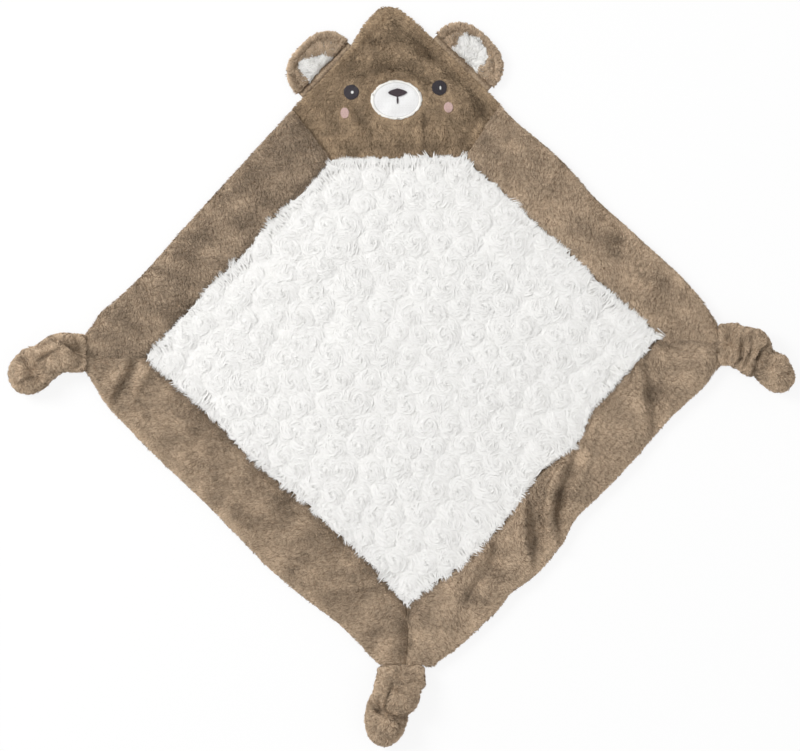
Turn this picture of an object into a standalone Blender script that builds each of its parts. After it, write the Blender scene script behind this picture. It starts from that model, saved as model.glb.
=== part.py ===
"""A comfort blanket with a bear's head, lying flat on its back.

A square of plush, 311 mm along its sewn edges, lies with one corner up the picture. That corner
is the bear's face, and the other three corners are tied in overhand knots. The front is a centre
panel of curly plush inside four brown border strips, which meet in mitre seams at the knots.
Frame: X to the viewer's right, Y towards the head, Z up out of the front. The origin is the centre
of the square, on the underside that rests on the table. All sizes are in metres.
"""

import math

import bmesh
import bpy
from mathutils import Matrix, Vector
from mathutils.bvhtree import BVHTree

# Gap left between layers and panels that touch
FIT = 0.0003

# The square from its centre to a corner, its border strips, and how far in from the square's
# corners the three necks and the head's round tip lie
HALF_DIAGONAL = 0.220
BORDER_WIDTH = 0.040
NECK_CUT = 0.018
TIP_CUT = 0.0023
TIP_TURNS = (-22.5, 0.0, 22.5)

# The face panel's seams: how far the lower one lies below the square's top corner, its half
# width, and the way that the side seams rise outwards
FACE_SEAM_DROP = 0.098
FACE_SEAM_HALF_WIDTH = 0.043
FACE_SIDE_RUN = Vector((0.023, 0.033, 0.0))

# The back cloth, whose sewn edge lifts off the table
BACK_THICKNESS = 0.0020
EDGE_LIFT = 0.0010
EDGE_ROWS = (0.0, 0.003, 0.008)
EDGE_LIFT_SHARES = (1.0, 0.35, 0.0)

# Front panels: height of their seams, of their sewn outer edge, and of their crowns
SEAM_TOP = 0.0046
EDGE_TOP = 0.0052
BORDER_CROWN = 0.0102
BORDER_RUN = 0.014
CENTER_CROWN = 0.0086
CENTER_RUN = 0.012
CENTER_WAVE = 0.0005
CENTER_WAVE_LENGTH = 0.060
SEAM_ROWS = (0.002, 0.006, 0.013)
BACK_NET_COUNT = 6
CENTER_NET_COUNT = 12
BORDER_NET_COUNT = 12
FACE_NET_COUNT = 6

# Folds across the lower right border: places along it from its middle, their slant and depth
FOLD_PLACE_SHARES = (-0.62, -0.36, -0.12, 0.68)
FOLD_SLANT_SHARES = (0.30, 0.10, -0.15, 0.25)
FOLD_DEPTH_SHARES = (0.55, 0.75, 1.0, 0.70)
FOLD_DEPTH = 0.0042
FOLD_HALF_WIDTH = 0.0048

# The head: a thin wadding under the face, and the backing of its embroidery
PAD_INSET = 0.008
PAD_EDGE = 0.0012
PAD_RISE = 0.0075
PAD_RUN = 0.030
BACKING_INSET = 0.016
DOME_ROWS = (0.012, 0.022, 0.030, 0.040)
BACKING_THICKNESS = 0.0005
FACE_THICKNESS = 0.0028
FACE_EDGE_THICKNESS = 0.0021

# Embroidery: the eyes' line lies below the square's top corner, and the muzzle and cheeks below
# that line. Then come half sizes, and how far the threads stand proud
EYE_DROP = 0.0545
EYE_SPREAD = 0.028
EYE_RADIUS = 0.0048
EYE_PROUD = 0.0013
HIGHLIGHT_RADIUS = 0.0013
HIGHLIGHT_PROUD = 0.0006
HIGHLIGHT_SHIFT = 0.0004
MUZZLE_DROP = 0.0065
MUZZLE_HALF_SIZE = (0.0162, 0.0124)
MUZZLE_PROUD = 0.0016
NOSE_RISE = 0.0047
NOSE_HALF_SIZE = (0.0060, 0.0026)
NOSE_PROUD = 0.0011
MOUTH_DROP = 0.0003
MOUTH_HALF_SIZE = (0.0006, 0.0021)
MOUTH_PROUD = 0.0007
CHEEK_SPREAD = 0.0335
CHEEK_DROP = 0.0130
CHEEK_HALF_SIZE = (0.0028, 0.0034)
CHEEK_PROUD = 0.0006
EMBROIDERY_SIDES = 20
EMBROIDERY_RING_SHARES = (0.18, 0.34, 0.30)
EMBROIDERY_EDGE_SHARE = 0.5

# The ears: half discs sewn to the head's edges, this far from the square's top corner, each on
# a rounded base
EAR_HALF_WIDTH = 0.0230
EAR_HEIGHT = 0.0200
EAR_FROM_CORNER = 0.0585
EAR_BASE_RADIUS = 0.00255
EAR_LAYER_GAP_HALF = 0.00015
EAR_RIM_SHARE = 0.70
EAR_BASE_ROW_SHARES = (0.95, 0.80, 0.45)
EAR_CROWN = 0.0003
EAR_RINGS = 4
EAR_SECTORS = 14

# The knots: the gathered corner leaves its neck as a fan and is tied as one round strand
NECK_RADIUS = 0.0040
NECK_HEIGHT = 0.0042
NECK_MARGIN = 0.0042
STRAND_RADIUS = 0.0037
KNOT_PITCH = 0.0080
KNOT_FLATNESS_SHARE = 0.90
KNOT_REACH = 0.0240
KNOT_TURN_RUN = 0.0080
TAIL_HALF_WIDTH = 0.0090
TAIL_HALF_HEIGHT = 0.0034
KNOT_SIDES = 10
ROUTE_STEPS = 3
FAN_POINTS = 2
NECK_END_SHARES = (0.97, 0.80, 0.45)
NECK_END_TAPER_SHARE = 0.08
TAIL_END_SHARES = (0.6, 0.9)

# Half of the knot from its middle to an end, in strand pitches: along, across and up. The other
# half is the same turned half a turn about the line across
KNOT_ROUTE_SHARES = (
    (0.00, 1.12, 0.00),
    (-0.60, 1.02, -0.44),
    (-1.10, 0.68, -0.76),
    (-1.52, 0.12, -0.88),
    (-1.62, -0.46, -0.64),
    (-1.40, -0.92, -0.20),
    (-0.97, -1.08, 0.24),
    (-0.45, -0.95, 0.54),
    (0.05, -0.62, 0.62),
    (0.47, -0.28, 0.35),
    (0.84, -0.04, 0.00),
    (1.30, 0.06, -0.36),
    (1.85, 0.10, -0.52),
)
# Beyond it one end goes down to the blanket's neck, and the other is the tail
NECK_ROUTE_SHARES = ((-2.32, 0.16, 0.16), (-2.60, 0.06, -0.66))
TAIL_ROUTE_SHARES = ((2.10, 0.08, -0.58), (2.36, 0.02, -0.64))

BROWN = (0.26, 0.185, 0.12)
BROWN_BACK = (0.24, 0.17, 0.11)
WHITE = (0.90, 0.90, 0.88)
MUZZLE_WHITE = (0.86, 0.85, 0.80)
EYE_DARK = (0.045, 0.028, 0.04)
NOSE_DARK = (0.07, 0.045, 0.055)
CHEEK_PINK = (0.61, 0.43, 0.41)
WADDING_WHITE = (0.80, 0.80, 0.80)

# Each knot's corner, and how many degrees the knot lies aside from that corner's diagonal
KNOT_PLACES = {"left": (180, 14), "right": (0, -26), "bottom": (270, -21)}

PARTS = "comfort_blanket"
HALF_SIDE = HALF_DIAGONAL / math.sqrt(2)
CENTER_HALF_SIDE = HALF_SIDE - BORDER_WIDTH
NECK_DISTANCE = HALF_DIAGONAL - NECK_CUT
NECK_HALF_WIDTH = NECK_CUT - NECK_MARGIN
TIP_DISTANCE = HALF_DIAGONAL - TIP_CUT
FACE_SEAM_HEIGHT = HALF_DIAGONAL - FACE_SEAM_DROP
EYE_HEIGHT = HALF_DIAGONAL - EYE_DROP
MUZZLE_CENTER = Vector((0.0, EYE_HEIGHT - MUZZLE_DROP, 0.0))
EAR_PLACE = HALF_SIDE - EAR_FROM_CORNER
UP = Vector((0.0, 0.0, 1.0))
UPPER_RIGHT, UPPER_LEFT, LOWER_LEFT, LOWER_RIGHT = (math.radians(a) for a in (45, 135, 225, 315))


def clear_scene():
    for old in list(bpy.data.objects):
        bpy.data.objects.remove(old, do_unlink=True)


def collection(name):
    made = bpy.data.collections.new(name)
    bpy.context.scene.collection.children.link(made)
    return made


def material(name, colour, roughness):
    made = bpy.data.materials.new(name)
    made.use_nodes = True
    shader = made.node_tree.nodes["Principled BSDF"]
    shader.inputs["Base Color"].default_value = (*colour, 1.0)
    shader.inputs["Roughness"].default_value = roughness
    shader.inputs["Metallic"].default_value = 0.0
    return made


def add_object(name, mesh, colour, roughness=0.9):
    part = bpy.data.objects.new(name, mesh)
    if not mesh.materials:
        mesh.materials.append(material(name, colour, roughness))
    bpy.data.collections[PARTS].objects.link(part)
    return part


def finish_mesh(name, bm):
    bmesh.ops.remove_doubles(bm, verts=bm.verts, dist=FIT / 10)
    bmesh.ops.recalc_face_normals(bm, faces=bm.faces)
    mesh = bpy.data.meshes.new(name)
    bm.to_mesh(mesh)
    bm.free()
    mesh.shade_smooth()
    mesh.set_sharp_from_angle(angle=math.radians(50))
    return mesh


class Line:
    """A straight seam or edge in plan: a point on it, and the way into the piece."""

    def __init__(self, point, inward):
        self.point = Vector(point)
        self.inward = Vector(inward).normalized()

    def depth(self, place):
        return (place - self.point).dot(self.inward)

    def moved(self, distance):
        return Line(self.point + self.inward * distance, self.inward)


def side_edge(angle, distance=HALF_SIDE):
    """The sewn edge whose outward way is at this angle."""
    out = Vector((math.cos(angle), math.sin(angle), 0.0))
    return Line(out * distance, -out)


def diagonal_cut(angle, distance):
    out = Vector((math.cos(angle), math.sin(angle), 0.0))
    return Line(out * distance, -out)


def tip_cuts():
    """Three short cuts that round the head's tip, tangent to one circle."""
    top = math.radians(90)
    swing = (HALF_DIAGONAL - TIP_DISTANCE) / (math.sqrt(2) - 1)
    middle = Vector((0.0, TIP_DISTANCE - swing, 0.0))
    cuts = []
    for turn in TIP_TURNS:
        out = Vector((math.cos(top + math.radians(turn)), math.sin(top + math.radians(turn)), 0.0))
        cuts.append(Line(middle + out * swing, -out))
    return cuts


def face_seams():
    """The seams of the face: below, at its left and at its right, with the face inside."""
    left = Vector((-FACE_SEAM_HALF_WIDTH, FACE_SEAM_HEIGHT, 0.0))
    right = Vector((FACE_SEAM_HALF_WIDTH, FACE_SEAM_HEIGHT, 0.0))
    below = Line(left, (0.0, 1.0, 0.0))
    at_left = Line(left, (FACE_SIDE_RUN.y, FACE_SIDE_RUN.x, 0.0))
    at_right = Line(right, (-FACE_SIDE_RUN.y, FACE_SIDE_RUN.x, 0.0))
    return below, at_left, at_right


def grid(across_rows, along_rows, angle):
    """A flat net of quads. Rows across go outwards at the angle, and rows along run beside it."""
    bm = bmesh.new()
    bmesh.ops.create_grid(
        bm, x_segments=len(across_rows) - 1, y_segments=len(along_rows) - 1, size=1.0
    )
    turn = Matrix.Rotation(angle, 4, "Z")
    for v in bm.verts:
        i = round((v.co.x + 1) / 2 * (len(across_rows) - 1))
        j = round((v.co.y + 1) / 2 * (len(along_rows) - 1))
        v.co = turn @ Vector((across_rows[i], along_rows[j], 0.0))
    return bm


def crease(bm, line, clear=False):
    """Puts a row of edges on the line, and with clear drops what lies outside it."""
    bmesh.ops.bisect_plane(
        bm,
        geom=bm.verts[:] + bm.edges[:] + bm.faces[:],
        dist=FIT / 100,
        plane_co=line.point,
        plane_no=-line.inward,
        clear_outer=clear,
    )


def spread(start, stop, count):
    return [start + (stop - start) * k / count for k in range(count + 1)]


def edge_rows(half, count):
    """Rows from one edge of a square to the other, close together near both."""
    near = [half - row for row in EDGE_ROWS]
    inner = spread(near[-1], -near[-1], count)
    return [-row for row in near[:-1]] + inner[::-1] + near[:-1][::-1]


def lift(place):
    """How far the sewn edge curls up off the table here."""
    depth = min(side_edge(a).depth(place) for a in (UPPER_RIGHT, UPPER_LEFT, LOWER_LEFT, LOWER_RIGHT))
    for (near, high), (far, low) in zip(
        zip(EDGE_ROWS, EDGE_LIFT_SHARES), zip(EDGE_ROWS[1:], EDGE_LIFT_SHARES[1:])
    ):
        if depth <= far:
            return EDGE_LIFT * (high + (low - high) * max(depth - near, 0.0) / (far - near))
    return 0.0


def layer_top(place):
    return BACK_THICKNESS + lift(place)


def rise(share):
    """A quarter round from 0 at a seam to 1 on the crown."""
    share = min(max(share, 0.0), 1.0)
    return math.sqrt(1 - (1 - share) ** 2)


def thicken(bm, low, high):
    """Makes a flat net a closed layer between two heights, which are functions of the place."""
    floor = list(bm.verts)
    lifted = bmesh.ops.extrude_face_region(bm, geom=bm.faces[:], use_keep_orig=True)
    ceiling = [v for v in lifted["geom"] if isinstance(v, bmesh.types.BMVert)]
    for v in ceiling:
        v.co.z = high(v.co)
    for v in floor:
        v.co.z = low(Vector((v.co.x, v.co.y, 0.0)))


def back_panel():
    rows = edge_rows(HALF_SIDE, BACK_NET_COUNT)
    bm = grid(rows, rows, UPPER_RIGHT)
    for angle in (0, 180, 270):
        crease(bm, diagonal_cut(math.radians(angle), NECK_DISTANCE), clear=True)
    for cut in tip_cuts():
        crease(bm, cut, clear=True)
    thicken(bm, lift, layer_top)
    return add_object("back_panel", finish_mesh("back_panel", bm), BROWN_BACK)


def center_panel():
    half = CENTER_HALF_SIDE - FIT / 2
    near = [half - row for row in (0.0, *SEAM_ROWS)]
    inner = spread(near[-1], -near[-1], CENTER_NET_COUNT)
    rows = [-row for row in near[:-1]] + inner[::-1] + near[:-1][::-1]
    bm = grid(rows, rows, UPPER_RIGHT)
    top = Line((0.0, FACE_SEAM_HEIGHT - FIT / 2, 0.0), (0.0, -1.0, 0.0))
    crease(bm, top, clear=True)
    for row in SEAM_ROWS:
        crease(bm, top.moved(row))
    edges = [side_edge(a, half) for a in (UPPER_RIGHT, UPPER_LEFT, LOWER_LEFT, LOWER_RIGHT)] + [top]

    def high(place):
        inside = min(edge.depth(place) for edge in edges)
        crown = rise(inside / CENTER_RUN)
        across, along = (math.tau * part / CENTER_WAVE_LENGTH for part in (place.x, place.y))
        wave = CENTER_WAVE * math.sin(across) * math.sin(along + math.sin(across))
        return SEAM_TOP + (CENTER_CROWN - SEAM_TOP + wave) * crown

    thicken(bm, lambda place: BACK_THICKNESS + FIT, high)
    return add_object("center_panel", finish_mesh("center_panel", bm), WHITE)


def fold_depth(place, angle):
    """How deep the folds that the right knot pulls into its border are here."""
    out = Vector((math.cos(angle), math.sin(angle), 0.0))
    along = Vector((-out.y, out.x, 0.0))
    across = (place.dot(out) - CENTER_HALF_SIDE) / BORDER_WIDTH
    depth = 0.0
    for where, slant, share in zip(FOLD_PLACE_SHARES, FOLD_SLANT_SHARES, FOLD_DEPTH_SHARES):
        middle = where * HALF_SIDE + slant * BORDER_WIDTH * (across - 1 / 2)
        off = (place.dot(along) - middle) / FOLD_HALF_WIDTH
        depth += FOLD_DEPTH * share * math.exp(-(off**2) / 2)
    return depth


def fold_rows(angle):
    """Lines along the bottom of each fold and on both its shoulders."""
    out = Vector((math.cos(angle), math.sin(angle), 0.0))
    along = Vector((-out.y, out.x, 0.0))
    middle = out * (CENTER_HALF_SIDE + BORDER_WIDTH / 2)
    for where, slant in zip(FOLD_PLACE_SHARES, FOLD_SLANT_SHARES):
        across = (along - out * slant).normalized()
        for step in (-2, -1, 0, 1, 2):
            yield Line(middle + along * (where * HALF_SIDE + step * FOLD_HALF_WIDTH), across)


def border_strip(name, angle, ends, folded=False):
    """One side's strip. The ends are the lines that close it, with the strip inside them."""
    inner = CENTER_HALF_SIDE + FIT / 2
    across = [HALF_SIDE - row for row in (*EDGE_ROWS, BORDER_RUN)]
    across += [inner + row for row in (BORDER_RUN, *reversed(SEAM_ROWS[:2]), 0.0)]
    bm = grid(across[::-1], spread(-HALF_SIDE, HALF_SIDE, BORDER_NET_COUNT), angle)
    for line in ends:
        crease(bm, line, clear=True)
    for line in ends:
        if line.tapers:
            for row in SEAM_ROWS:
                crease(bm, line.moved(row))
    if folded:
        for line in fold_rows(angle):
            crease(bm, line)
    seam = side_edge(angle, inner)
    seam.inward = -seam.inward
    edge = side_edge(angle)
    closing = [seam] + [line for line in ends if line.tapers]

    def high(place):
        inside = min(line.depth(place) for line in closing)
        crown = rise(min(inside, edge.depth(place)) / BORDER_RUN)
        start = SEAM_TOP + (EDGE_TOP - SEAM_TOP) * lift(place) / EDGE_LIFT
        height = start + (BORDER_CROWN - start) * crown
        if folded:
            height -= fold_depth(place, angle) * crown
        return height

    thicken(bm, lambda place: layer_top(place) + FIT, high)
    return add_object(name, finish_mesh(name, bm), BROWN)


def end_line(point, inward, tapers=True):
    """A strip's end: a sewn seam, where the crown comes down, or a plain cut."""
    line = Line(point, inward).moved(FIT / 2)
    line.tapers = tapers
    return line


def border_strips():
    left_of_face = face_seams()[1]
    right_of_face = face_seams()[2]
    above, beneath = (0.0, 1.0, 0.0), (0.0, -1.0, 0.0)
    to_left, to_right = (-1.0, 0.0, 0.0), (1.0, 0.0, 0.0)
    center = (0.0, 0.0, 0.0)
    left_neck = end_line((-NECK_DISTANCE - FIT / 2, 0.0, 0.0), to_right, tapers=False)
    right_neck = end_line((NECK_DISTANCE + FIT / 2, 0.0, 0.0), to_left, tapers=False)
    bottom_neck = end_line((0.0, -NECK_DISTANCE - FIT / 2, 0.0), above, tapers=False)
    border_strip(
        "border_upper_left",
        UPPER_LEFT,
        [end_line(left_of_face.point, -left_of_face.inward), end_line(center, above), left_neck],
    )
    border_strip(
        "border_upper_right",
        UPPER_RIGHT,
        [end_line(right_of_face.point, -right_of_face.inward), end_line(center, above), right_neck],
    )
    border_strip(
        "border_lower_left",
        LOWER_LEFT,
        [end_line(center, beneath), end_line(center, to_left), left_neck, bottom_neck],
    )
    border_strip(
        "border_lower_right",
        LOWER_RIGHT,
        [end_line(center, beneath), end_line(center, to_right), right_neck, bottom_neck],
        folded=True,
    )


def face_lines():
    edges = [side_edge(a) for a in (UPPER_LEFT, UPPER_RIGHT)]
    return [line.moved(FIT / 2) for line in face_seams()], edges


def face_depth(place):
    seams, edges = face_lines()
    return min(line.depth(place) for line in seams + edges)


def head_net(inset):
    """The face's flat net, cut back by an inset. All layers of the head share its places."""
    seams, edges = face_lines()
    rows = [HALF_SIDE - row for row in sorted((*EDGE_ROWS, BACKING_INSET, *DOME_ROWS))]
    rows = rows[:-1] + spread(rows[-1], 0.0, FACE_NET_COUNT)
    bm = grid(rows[::-1], rows[::-1], UPPER_RIGHT)
    for line in seams + tip_cuts():
        crease(bm, line, clear=True)
    for line in seams:
        for row in (PAD_INSET, BACKING_INSET, *DOME_ROWS[:2]):
            crease(bm, line.moved(row))
    bmesh.ops.triangulate(bm, faces=bm.faces[:], quad_method="FIXED", ngon_method="BEAUTY")
    outside = [f for f in bm.faces if face_depth(f.calc_center_median()) < inset]
    bmesh.ops.delete(bm, geom=outside, context="FACES")
    return bm


def pad_top(place):
    crown = rise((face_depth(place) - PAD_INSET) / PAD_RUN)
    return BACK_THICKNESS + FIT + PAD_EDGE + PAD_RISE * crown


def backing_top(place):
    return pad_top(place) + FIT + BACKING_THICKNESS


def face_low(place):
    """The underside of the face: on the backing inside, and down on the back cloth at its rim."""
    share = min(max(face_depth(place) / PAD_INSET, 0.0), 1.0)
    rim = layer_top(place) + FIT
    return rim + (backing_top(place) + FIT - rim) * share


def face_high(place):
    share = min(max(face_depth(place) / PAD_INSET, 0.0), 1.0)
    swell = (FACE_THICKNESS - FACE_EDGE_THICKNESS) * rise(share)
    return face_low(place) + FACE_EDGE_THICKNESS + swell


def head():
    pad = head_net(PAD_INSET)
    thicken(pad, lambda place: BACK_THICKNESS + FIT, pad_top)
    add_object("head_padding", finish_mesh("head_padding", pad), WADDING_WHITE)
    backing = head_net(BACKING_INSET)
    thicken(backing, lambda place: pad_top(place) + FIT, backing_top)
    add_object("embroidery_backing", finish_mesh("embroidery_backing", backing), WADDING_WHITE)
    face = head_net(0.0)
    thicken(face, face_low, face_high)
    return add_object("face_panel", finish_mesh("face_panel", face), BROWN)


def embroidery(name, carrier, center, half_size, proud, colour, sides=EMBROIDERY_SIDES):
    """A patch of threads that lies on its carrier and stands a little proud in its middle."""
    bm = bmesh.new()
    bmesh.ops.create_circle(bm, cap_ends=True, cap_tris=False, segments=sides, radius=1.0)
    for share in EMBROIDERY_RING_SHARES:
        middle = [max(bm.faces, key=lambda f: f.calc_area())]
        bmesh.ops.inset_region(bm, faces=middle, thickness=share, use_even_offset=True)
    bmesh.ops.triangulate(bm, faces=bm.faces[:])
    wide, tall = half_size
    for v in bm.verts:
        v.co = Vector((center.x + v.co.x * wide, center.y + v.co.y * tall, 0.0))
    tree = BVHTree.FromObject(carrier, bpy.context.evaluated_depsgraph_get())

    def low(place):
        start = Vector((place.x, place.y, HALF_DIAGONAL))
        return tree.ray_cast(start, -UP)[0].z + FIT

    def high(place):
        off = Vector(((place.x - center.x) / wide, (place.y - center.y) / tall)).length
        crown = rise(1 - min(off, 1.0))
        share = EMBROIDERY_EDGE_SHARE + (1 - EMBROIDERY_EDGE_SHARE) * crown
        return low(Vector((place.x, place.y, 0.0))) + proud * share

    thicken(bm, low, high)
    return add_object(name, finish_mesh(name, bm), colour)


def face_details(face):
    bpy.context.view_layer.update()
    muzzle = embroidery(
        "muzzle_patch", face, MUZZLE_CENTER, MUZZLE_HALF_SIZE, MUZZLE_PROUD, MUZZLE_WHITE
    )
    bpy.context.view_layer.update()
    nose_center = MUZZLE_CENTER + Vector((0.0, NOSE_RISE, 0.0))
    embroidery("nose", muzzle, nose_center, NOSE_HALF_SIZE, NOSE_PROUD, NOSE_DARK, sides=16)
    mouth_fall = NOSE_HALF_SIZE[1] + MOUTH_DROP + MOUTH_HALF_SIZE[1]
    mouth_center = nose_center - Vector((0.0, mouth_fall, 0.0))
    embroidery("mouth_stitch", muzzle, mouth_center, MOUTH_HALF_SIZE, MOUTH_PROUD, NOSE_DARK, sides=10)
    for side, hand in (("left", -1), ("right", 1)):
        eye_center = Vector((hand * EYE_SPREAD, EYE_HEIGHT, 0.0))
        round_eye = (EYE_RADIUS, EYE_RADIUS)
        eye = embroidery(f"{side}_eye", face, eye_center, round_eye, EYE_PROUD, EYE_DARK)
        bpy.context.view_layer.update()
        shine_center = eye_center + Vector((HIGHLIGHT_SHIFT, 0.0, 0.0))
        shine = (HIGHLIGHT_RADIUS, HIGHLIGHT_RADIUS)
        highlight = f"{side}_eye_highlight"
        embroidery(highlight, eye, shine_center, shine, HIGHLIGHT_PROUD, WHITE, sides=10)
        cheek = f"{side}_cheek"
        cheek_center = Vector((hand * CHEEK_SPREAD, EYE_HEIGHT - CHEEK_DROP, 0.0))
        embroidery(cheek, face, cheek_center, CHEEK_HALF_SIZE, CHEEK_PROUD, CHEEK_PINK, sides=14)


def half_disc(inner_share, outer_share, start):
    """Half of a flat ring, in rings and sectors, from a base line outwards. The ear's own shape."""
    bm = bmesh.new()
    ring = bmesh.ops.create_circle(bm, segments=EAR_SECTORS * 2, radius=1.0)["verts"]
    bmesh.ops.delete(bm, geom=[v for v in ring if v.co.y < -FIT], context="VERTS")
    rim = list(bm.verts)
    edges = list(bm.edges)
    for step in range(EAR_RINGS):
        made = bmesh.ops.extrude_edge_only(bm, edges=edges)["geom"]
        share = outer_share + (inner_share - outer_share) * (step + 1) / EAR_RINGS
        fresh = [v for v in made if isinstance(v, bmesh.types.BMVert)]
        for v in fresh:
            v.co = v.co.normalized() * max(share, 0.0)
        edges = [e for e in made if isinstance(e, bmesh.types.BMEdge)]
    for v in rim:
        v.co = v.co.normalized() * outer_share
    bmesh.ops.remove_doubles(bm, verts=bm.verts, dist=FIT / 10)
    for v in bm.verts:
        v.co.x *= EAR_HALF_WIDTH
        v.co.y = start + v.co.y * (EAR_HEIGHT - start)
    return bm


def ear_back_mesh():
    """The brown back of an ear, with the rounded base that is sewn into the head's edge."""
    base = EAR_BASE_RADIUS
    seat = base + 2 * EAR_LAYER_GAP_HALF
    bm = half_disc(0.0, 1.0, 0.0)
    rows = [-base * share for share in EAR_BASE_ROW_SHARES]
    strip = grid(spread(-EAR_HALF_WIDTH, EAR_HALF_WIDTH, 2 * EAR_RINGS), [*rows, 0.0], 0.0)
    joined = bpy.data.meshes.new("ear_base")
    strip.to_mesh(joined)
    strip.free()
    bm.from_mesh(joined)
    bpy.data.meshes.remove(joined)
    bmesh.ops.remove_doubles(bm, verts=bm.verts, dist=FIT / 10)
    for row in (base, seat):
        crease(bm, Line((0.0, row, 0.0), (0.0, 1.0, 0.0)))

    def half_height(place):
        return base if place.y >= 0 else math.sqrt(max(base**2 - place.y**2, 0.0))

    def high(place):
        return half_height(place) if place.y <= base + FIT / 10 else -EAR_LAYER_GAP_HALF

    thicken(bm, lambda place: -half_height(place), high)
    return bm


def ear_front_mesh(inner_share, outer_share):
    """A layer on the front of an ear: the brown rim or the white inside."""
    start = EAR_BASE_RADIUS + 4 * EAR_LAYER_GAP_HALF
    bm = half_disc(inner_share, outer_share, start)
    middle_share = (inner_share + outer_share) / 2
    half_share = (outer_share - inner_share) / 2

    def high(place):
        off = Vector((place.x / EAR_HALF_WIDTH, (place.y - start) / (EAR_HEIGHT - start))).length
        crown = rise(1 - abs(off - middle_share) / half_share)
        return EAR_BASE_RADIUS + EAR_CROWN * (2 * crown - 1)

    thicken(bm, lambda place: EAR_LAYER_GAP_HALF, high)
    return bm


def empty(name, place, angle):
    made = bpy.data.objects.new(name, None)
    bpy.data.collections[PARTS].objects.link(made)
    made.matrix_world = Matrix.Translation(place) @ Matrix.Rotation(angle, 4, "Z")
    return made


def ears():
    """Both ears, each on an empty that lies on its fold line with X along the fold."""
    reach = HALF_SIDE + FIT + EAR_BASE_RADIUS
    rim_gap = FIT / EAR_HEIGHT
    layers = (
        ("ear_back", BROWN_BACK, ear_back_mesh()),
        ("ear_rim", BROWN, ear_front_mesh(EAR_RIM_SHARE + rim_gap, 1.0)),
        ("ear_inner", WHITE, ear_front_mesh(0.0, EAR_RIM_SHARE)),
    )
    meshes = [(name, colour, finish_mesh(name, bm)) for name, colour, bm in layers]
    for side, hand, angle in (("left", -1, UPPER_LEFT), ("right", 1, UPPER_RIGHT)):
        out = Vector((math.cos(angle), math.sin(angle), 0.0))
        along = Vector((-out.y, out.x, 0.0)) * hand
        place = out * reach + along * EAR_PLACE + UP * (EAR_BASE_RADIUS + FIT)
        pivot = empty(f"{side}_ear_fold", place, angle - math.radians(90))
        for name, colour, mesh in meshes:
            own = mesh.copy()
            own.name = f"{side}_{name}"
            add_object(own.name, own, colour).parent = pivot
    for _, _, mesh in meshes:
        bpy.data.meshes.remove(mesh)


def smooth_route(points, steps):
    """Points on a smooth curve through the given ones."""
    padded = [points[0] * 2 - points[1], *points, points[-1] * 2 - points[-2]]
    route = []
    for a, b, c, d in zip(padded, padded[1:], padded[2:], padded[3:]):
        slope = c - a
        bend = a * 2 - b * 5 + c * 4 - d
        twist = b * 3 - a - c * 3 + d
        for k in range(steps):
            t = k / steps
            route.append(b + (slope * t + bend * t**2 + twist * t**3) / 2)
    route.append(points[-1])
    return route


def turned(place, turn):
    """The place after the strand has swung aside by the turn, which it does near its neck."""
    share = min(max(place.x / KNOT_TURN_RUN, 0.0), 1.0)
    angle = turn * share
    run = KNOT_TURN_RUN * share
    if abs(angle) > 0:
        run *= math.sin(angle / 2) / (angle / 2)
    start = Vector((math.cos(angle / 2), math.sin(angle / 2), 0.0)) * run
    off = Matrix.Rotation(angle, 3, "Z") @ Vector((place.x - KNOT_TURN_RUN * share, place.y, 0.0))
    return Vector((start.x + off.x, start.y + off.y, place.z))


def knot_route(turn):
    """The strand's middle line: X out from the fold line, Z up, with the fold line at zero."""
    low = max(-up for _, _, up in KNOT_ROUTE_SHARES) * KNOT_PITCH * KNOT_FLATNESS_SHARE
    middle = Vector((KNOT_REACH, 0.0, FIT + STRAND_RADIUS + low - NECK_HEIGHT))
    first = [Vector((-x, y, -z)) for x, y, z in reversed(KNOT_ROUTE_SHARES[1:])]
    neck = [Vector(p) for p in reversed(NECK_ROUTE_SHARES)]
    second = [Vector(p) for p in KNOT_ROUTE_SHARES]
    tail = [Vector(p) for p in TAIL_ROUTE_SHARES]
    shares = neck + first + second + tail
    scaled = [Vector((p.x, p.y, p.z * KNOT_FLATNESS_SHARE)) * KNOT_PITCH + middle for p in shares]
    straight = smooth_route([Vector((0.0, 0.0, 0.0)), *scaled], ROUTE_STEPS)
    return [turned(place, turn) for place in straight]


def least_gap(route, radii):
    """The least room between two stretches of the strand that don't follow each other."""
    lengths = [0.0]
    for a, b in zip(route, route[1:]):
        lengths.append(lengths[-1] + (b - a).length)
    apart = math.pi * STRAND_RADIUS
    gaps = [
        (route[i] - route[j]).length - radii[i] - radii[j]
        for i in range(len(route))
        for j in range(i)
        if lengths[i] - lengths[j] > apart
    ]
    return min(gaps)


def knot_sections(turn):
    """Half width and half height of the strand at each point of its route."""
    route = knot_route(turn)
    count = len(route)
    sections = []
    tail_steps = ROUTE_STEPS * len(TAIL_ROUTE_SHARES)
    fan_steps = ROUTE_STEPS * FAN_POINTS
    for k in range(count):
        fan = max(1 - k / fan_steps, 0.0)
        flare = max((k - (count - 1 - tail_steps)) / tail_steps, 0.0)
        wide = STRAND_RADIUS + (NECK_HALF_WIDTH - STRAND_RADIUS) * fan
        wide += (TAIL_HALF_WIDTH - STRAND_RADIUS) * flare
        high = STRAND_RADIUS + (NECK_RADIUS - STRAND_RADIUS) * fan
        high += (TAIL_HALF_HEIGHT - STRAND_RADIUS) * flare
        sections.append((wide, high))
    return route, sections


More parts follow.
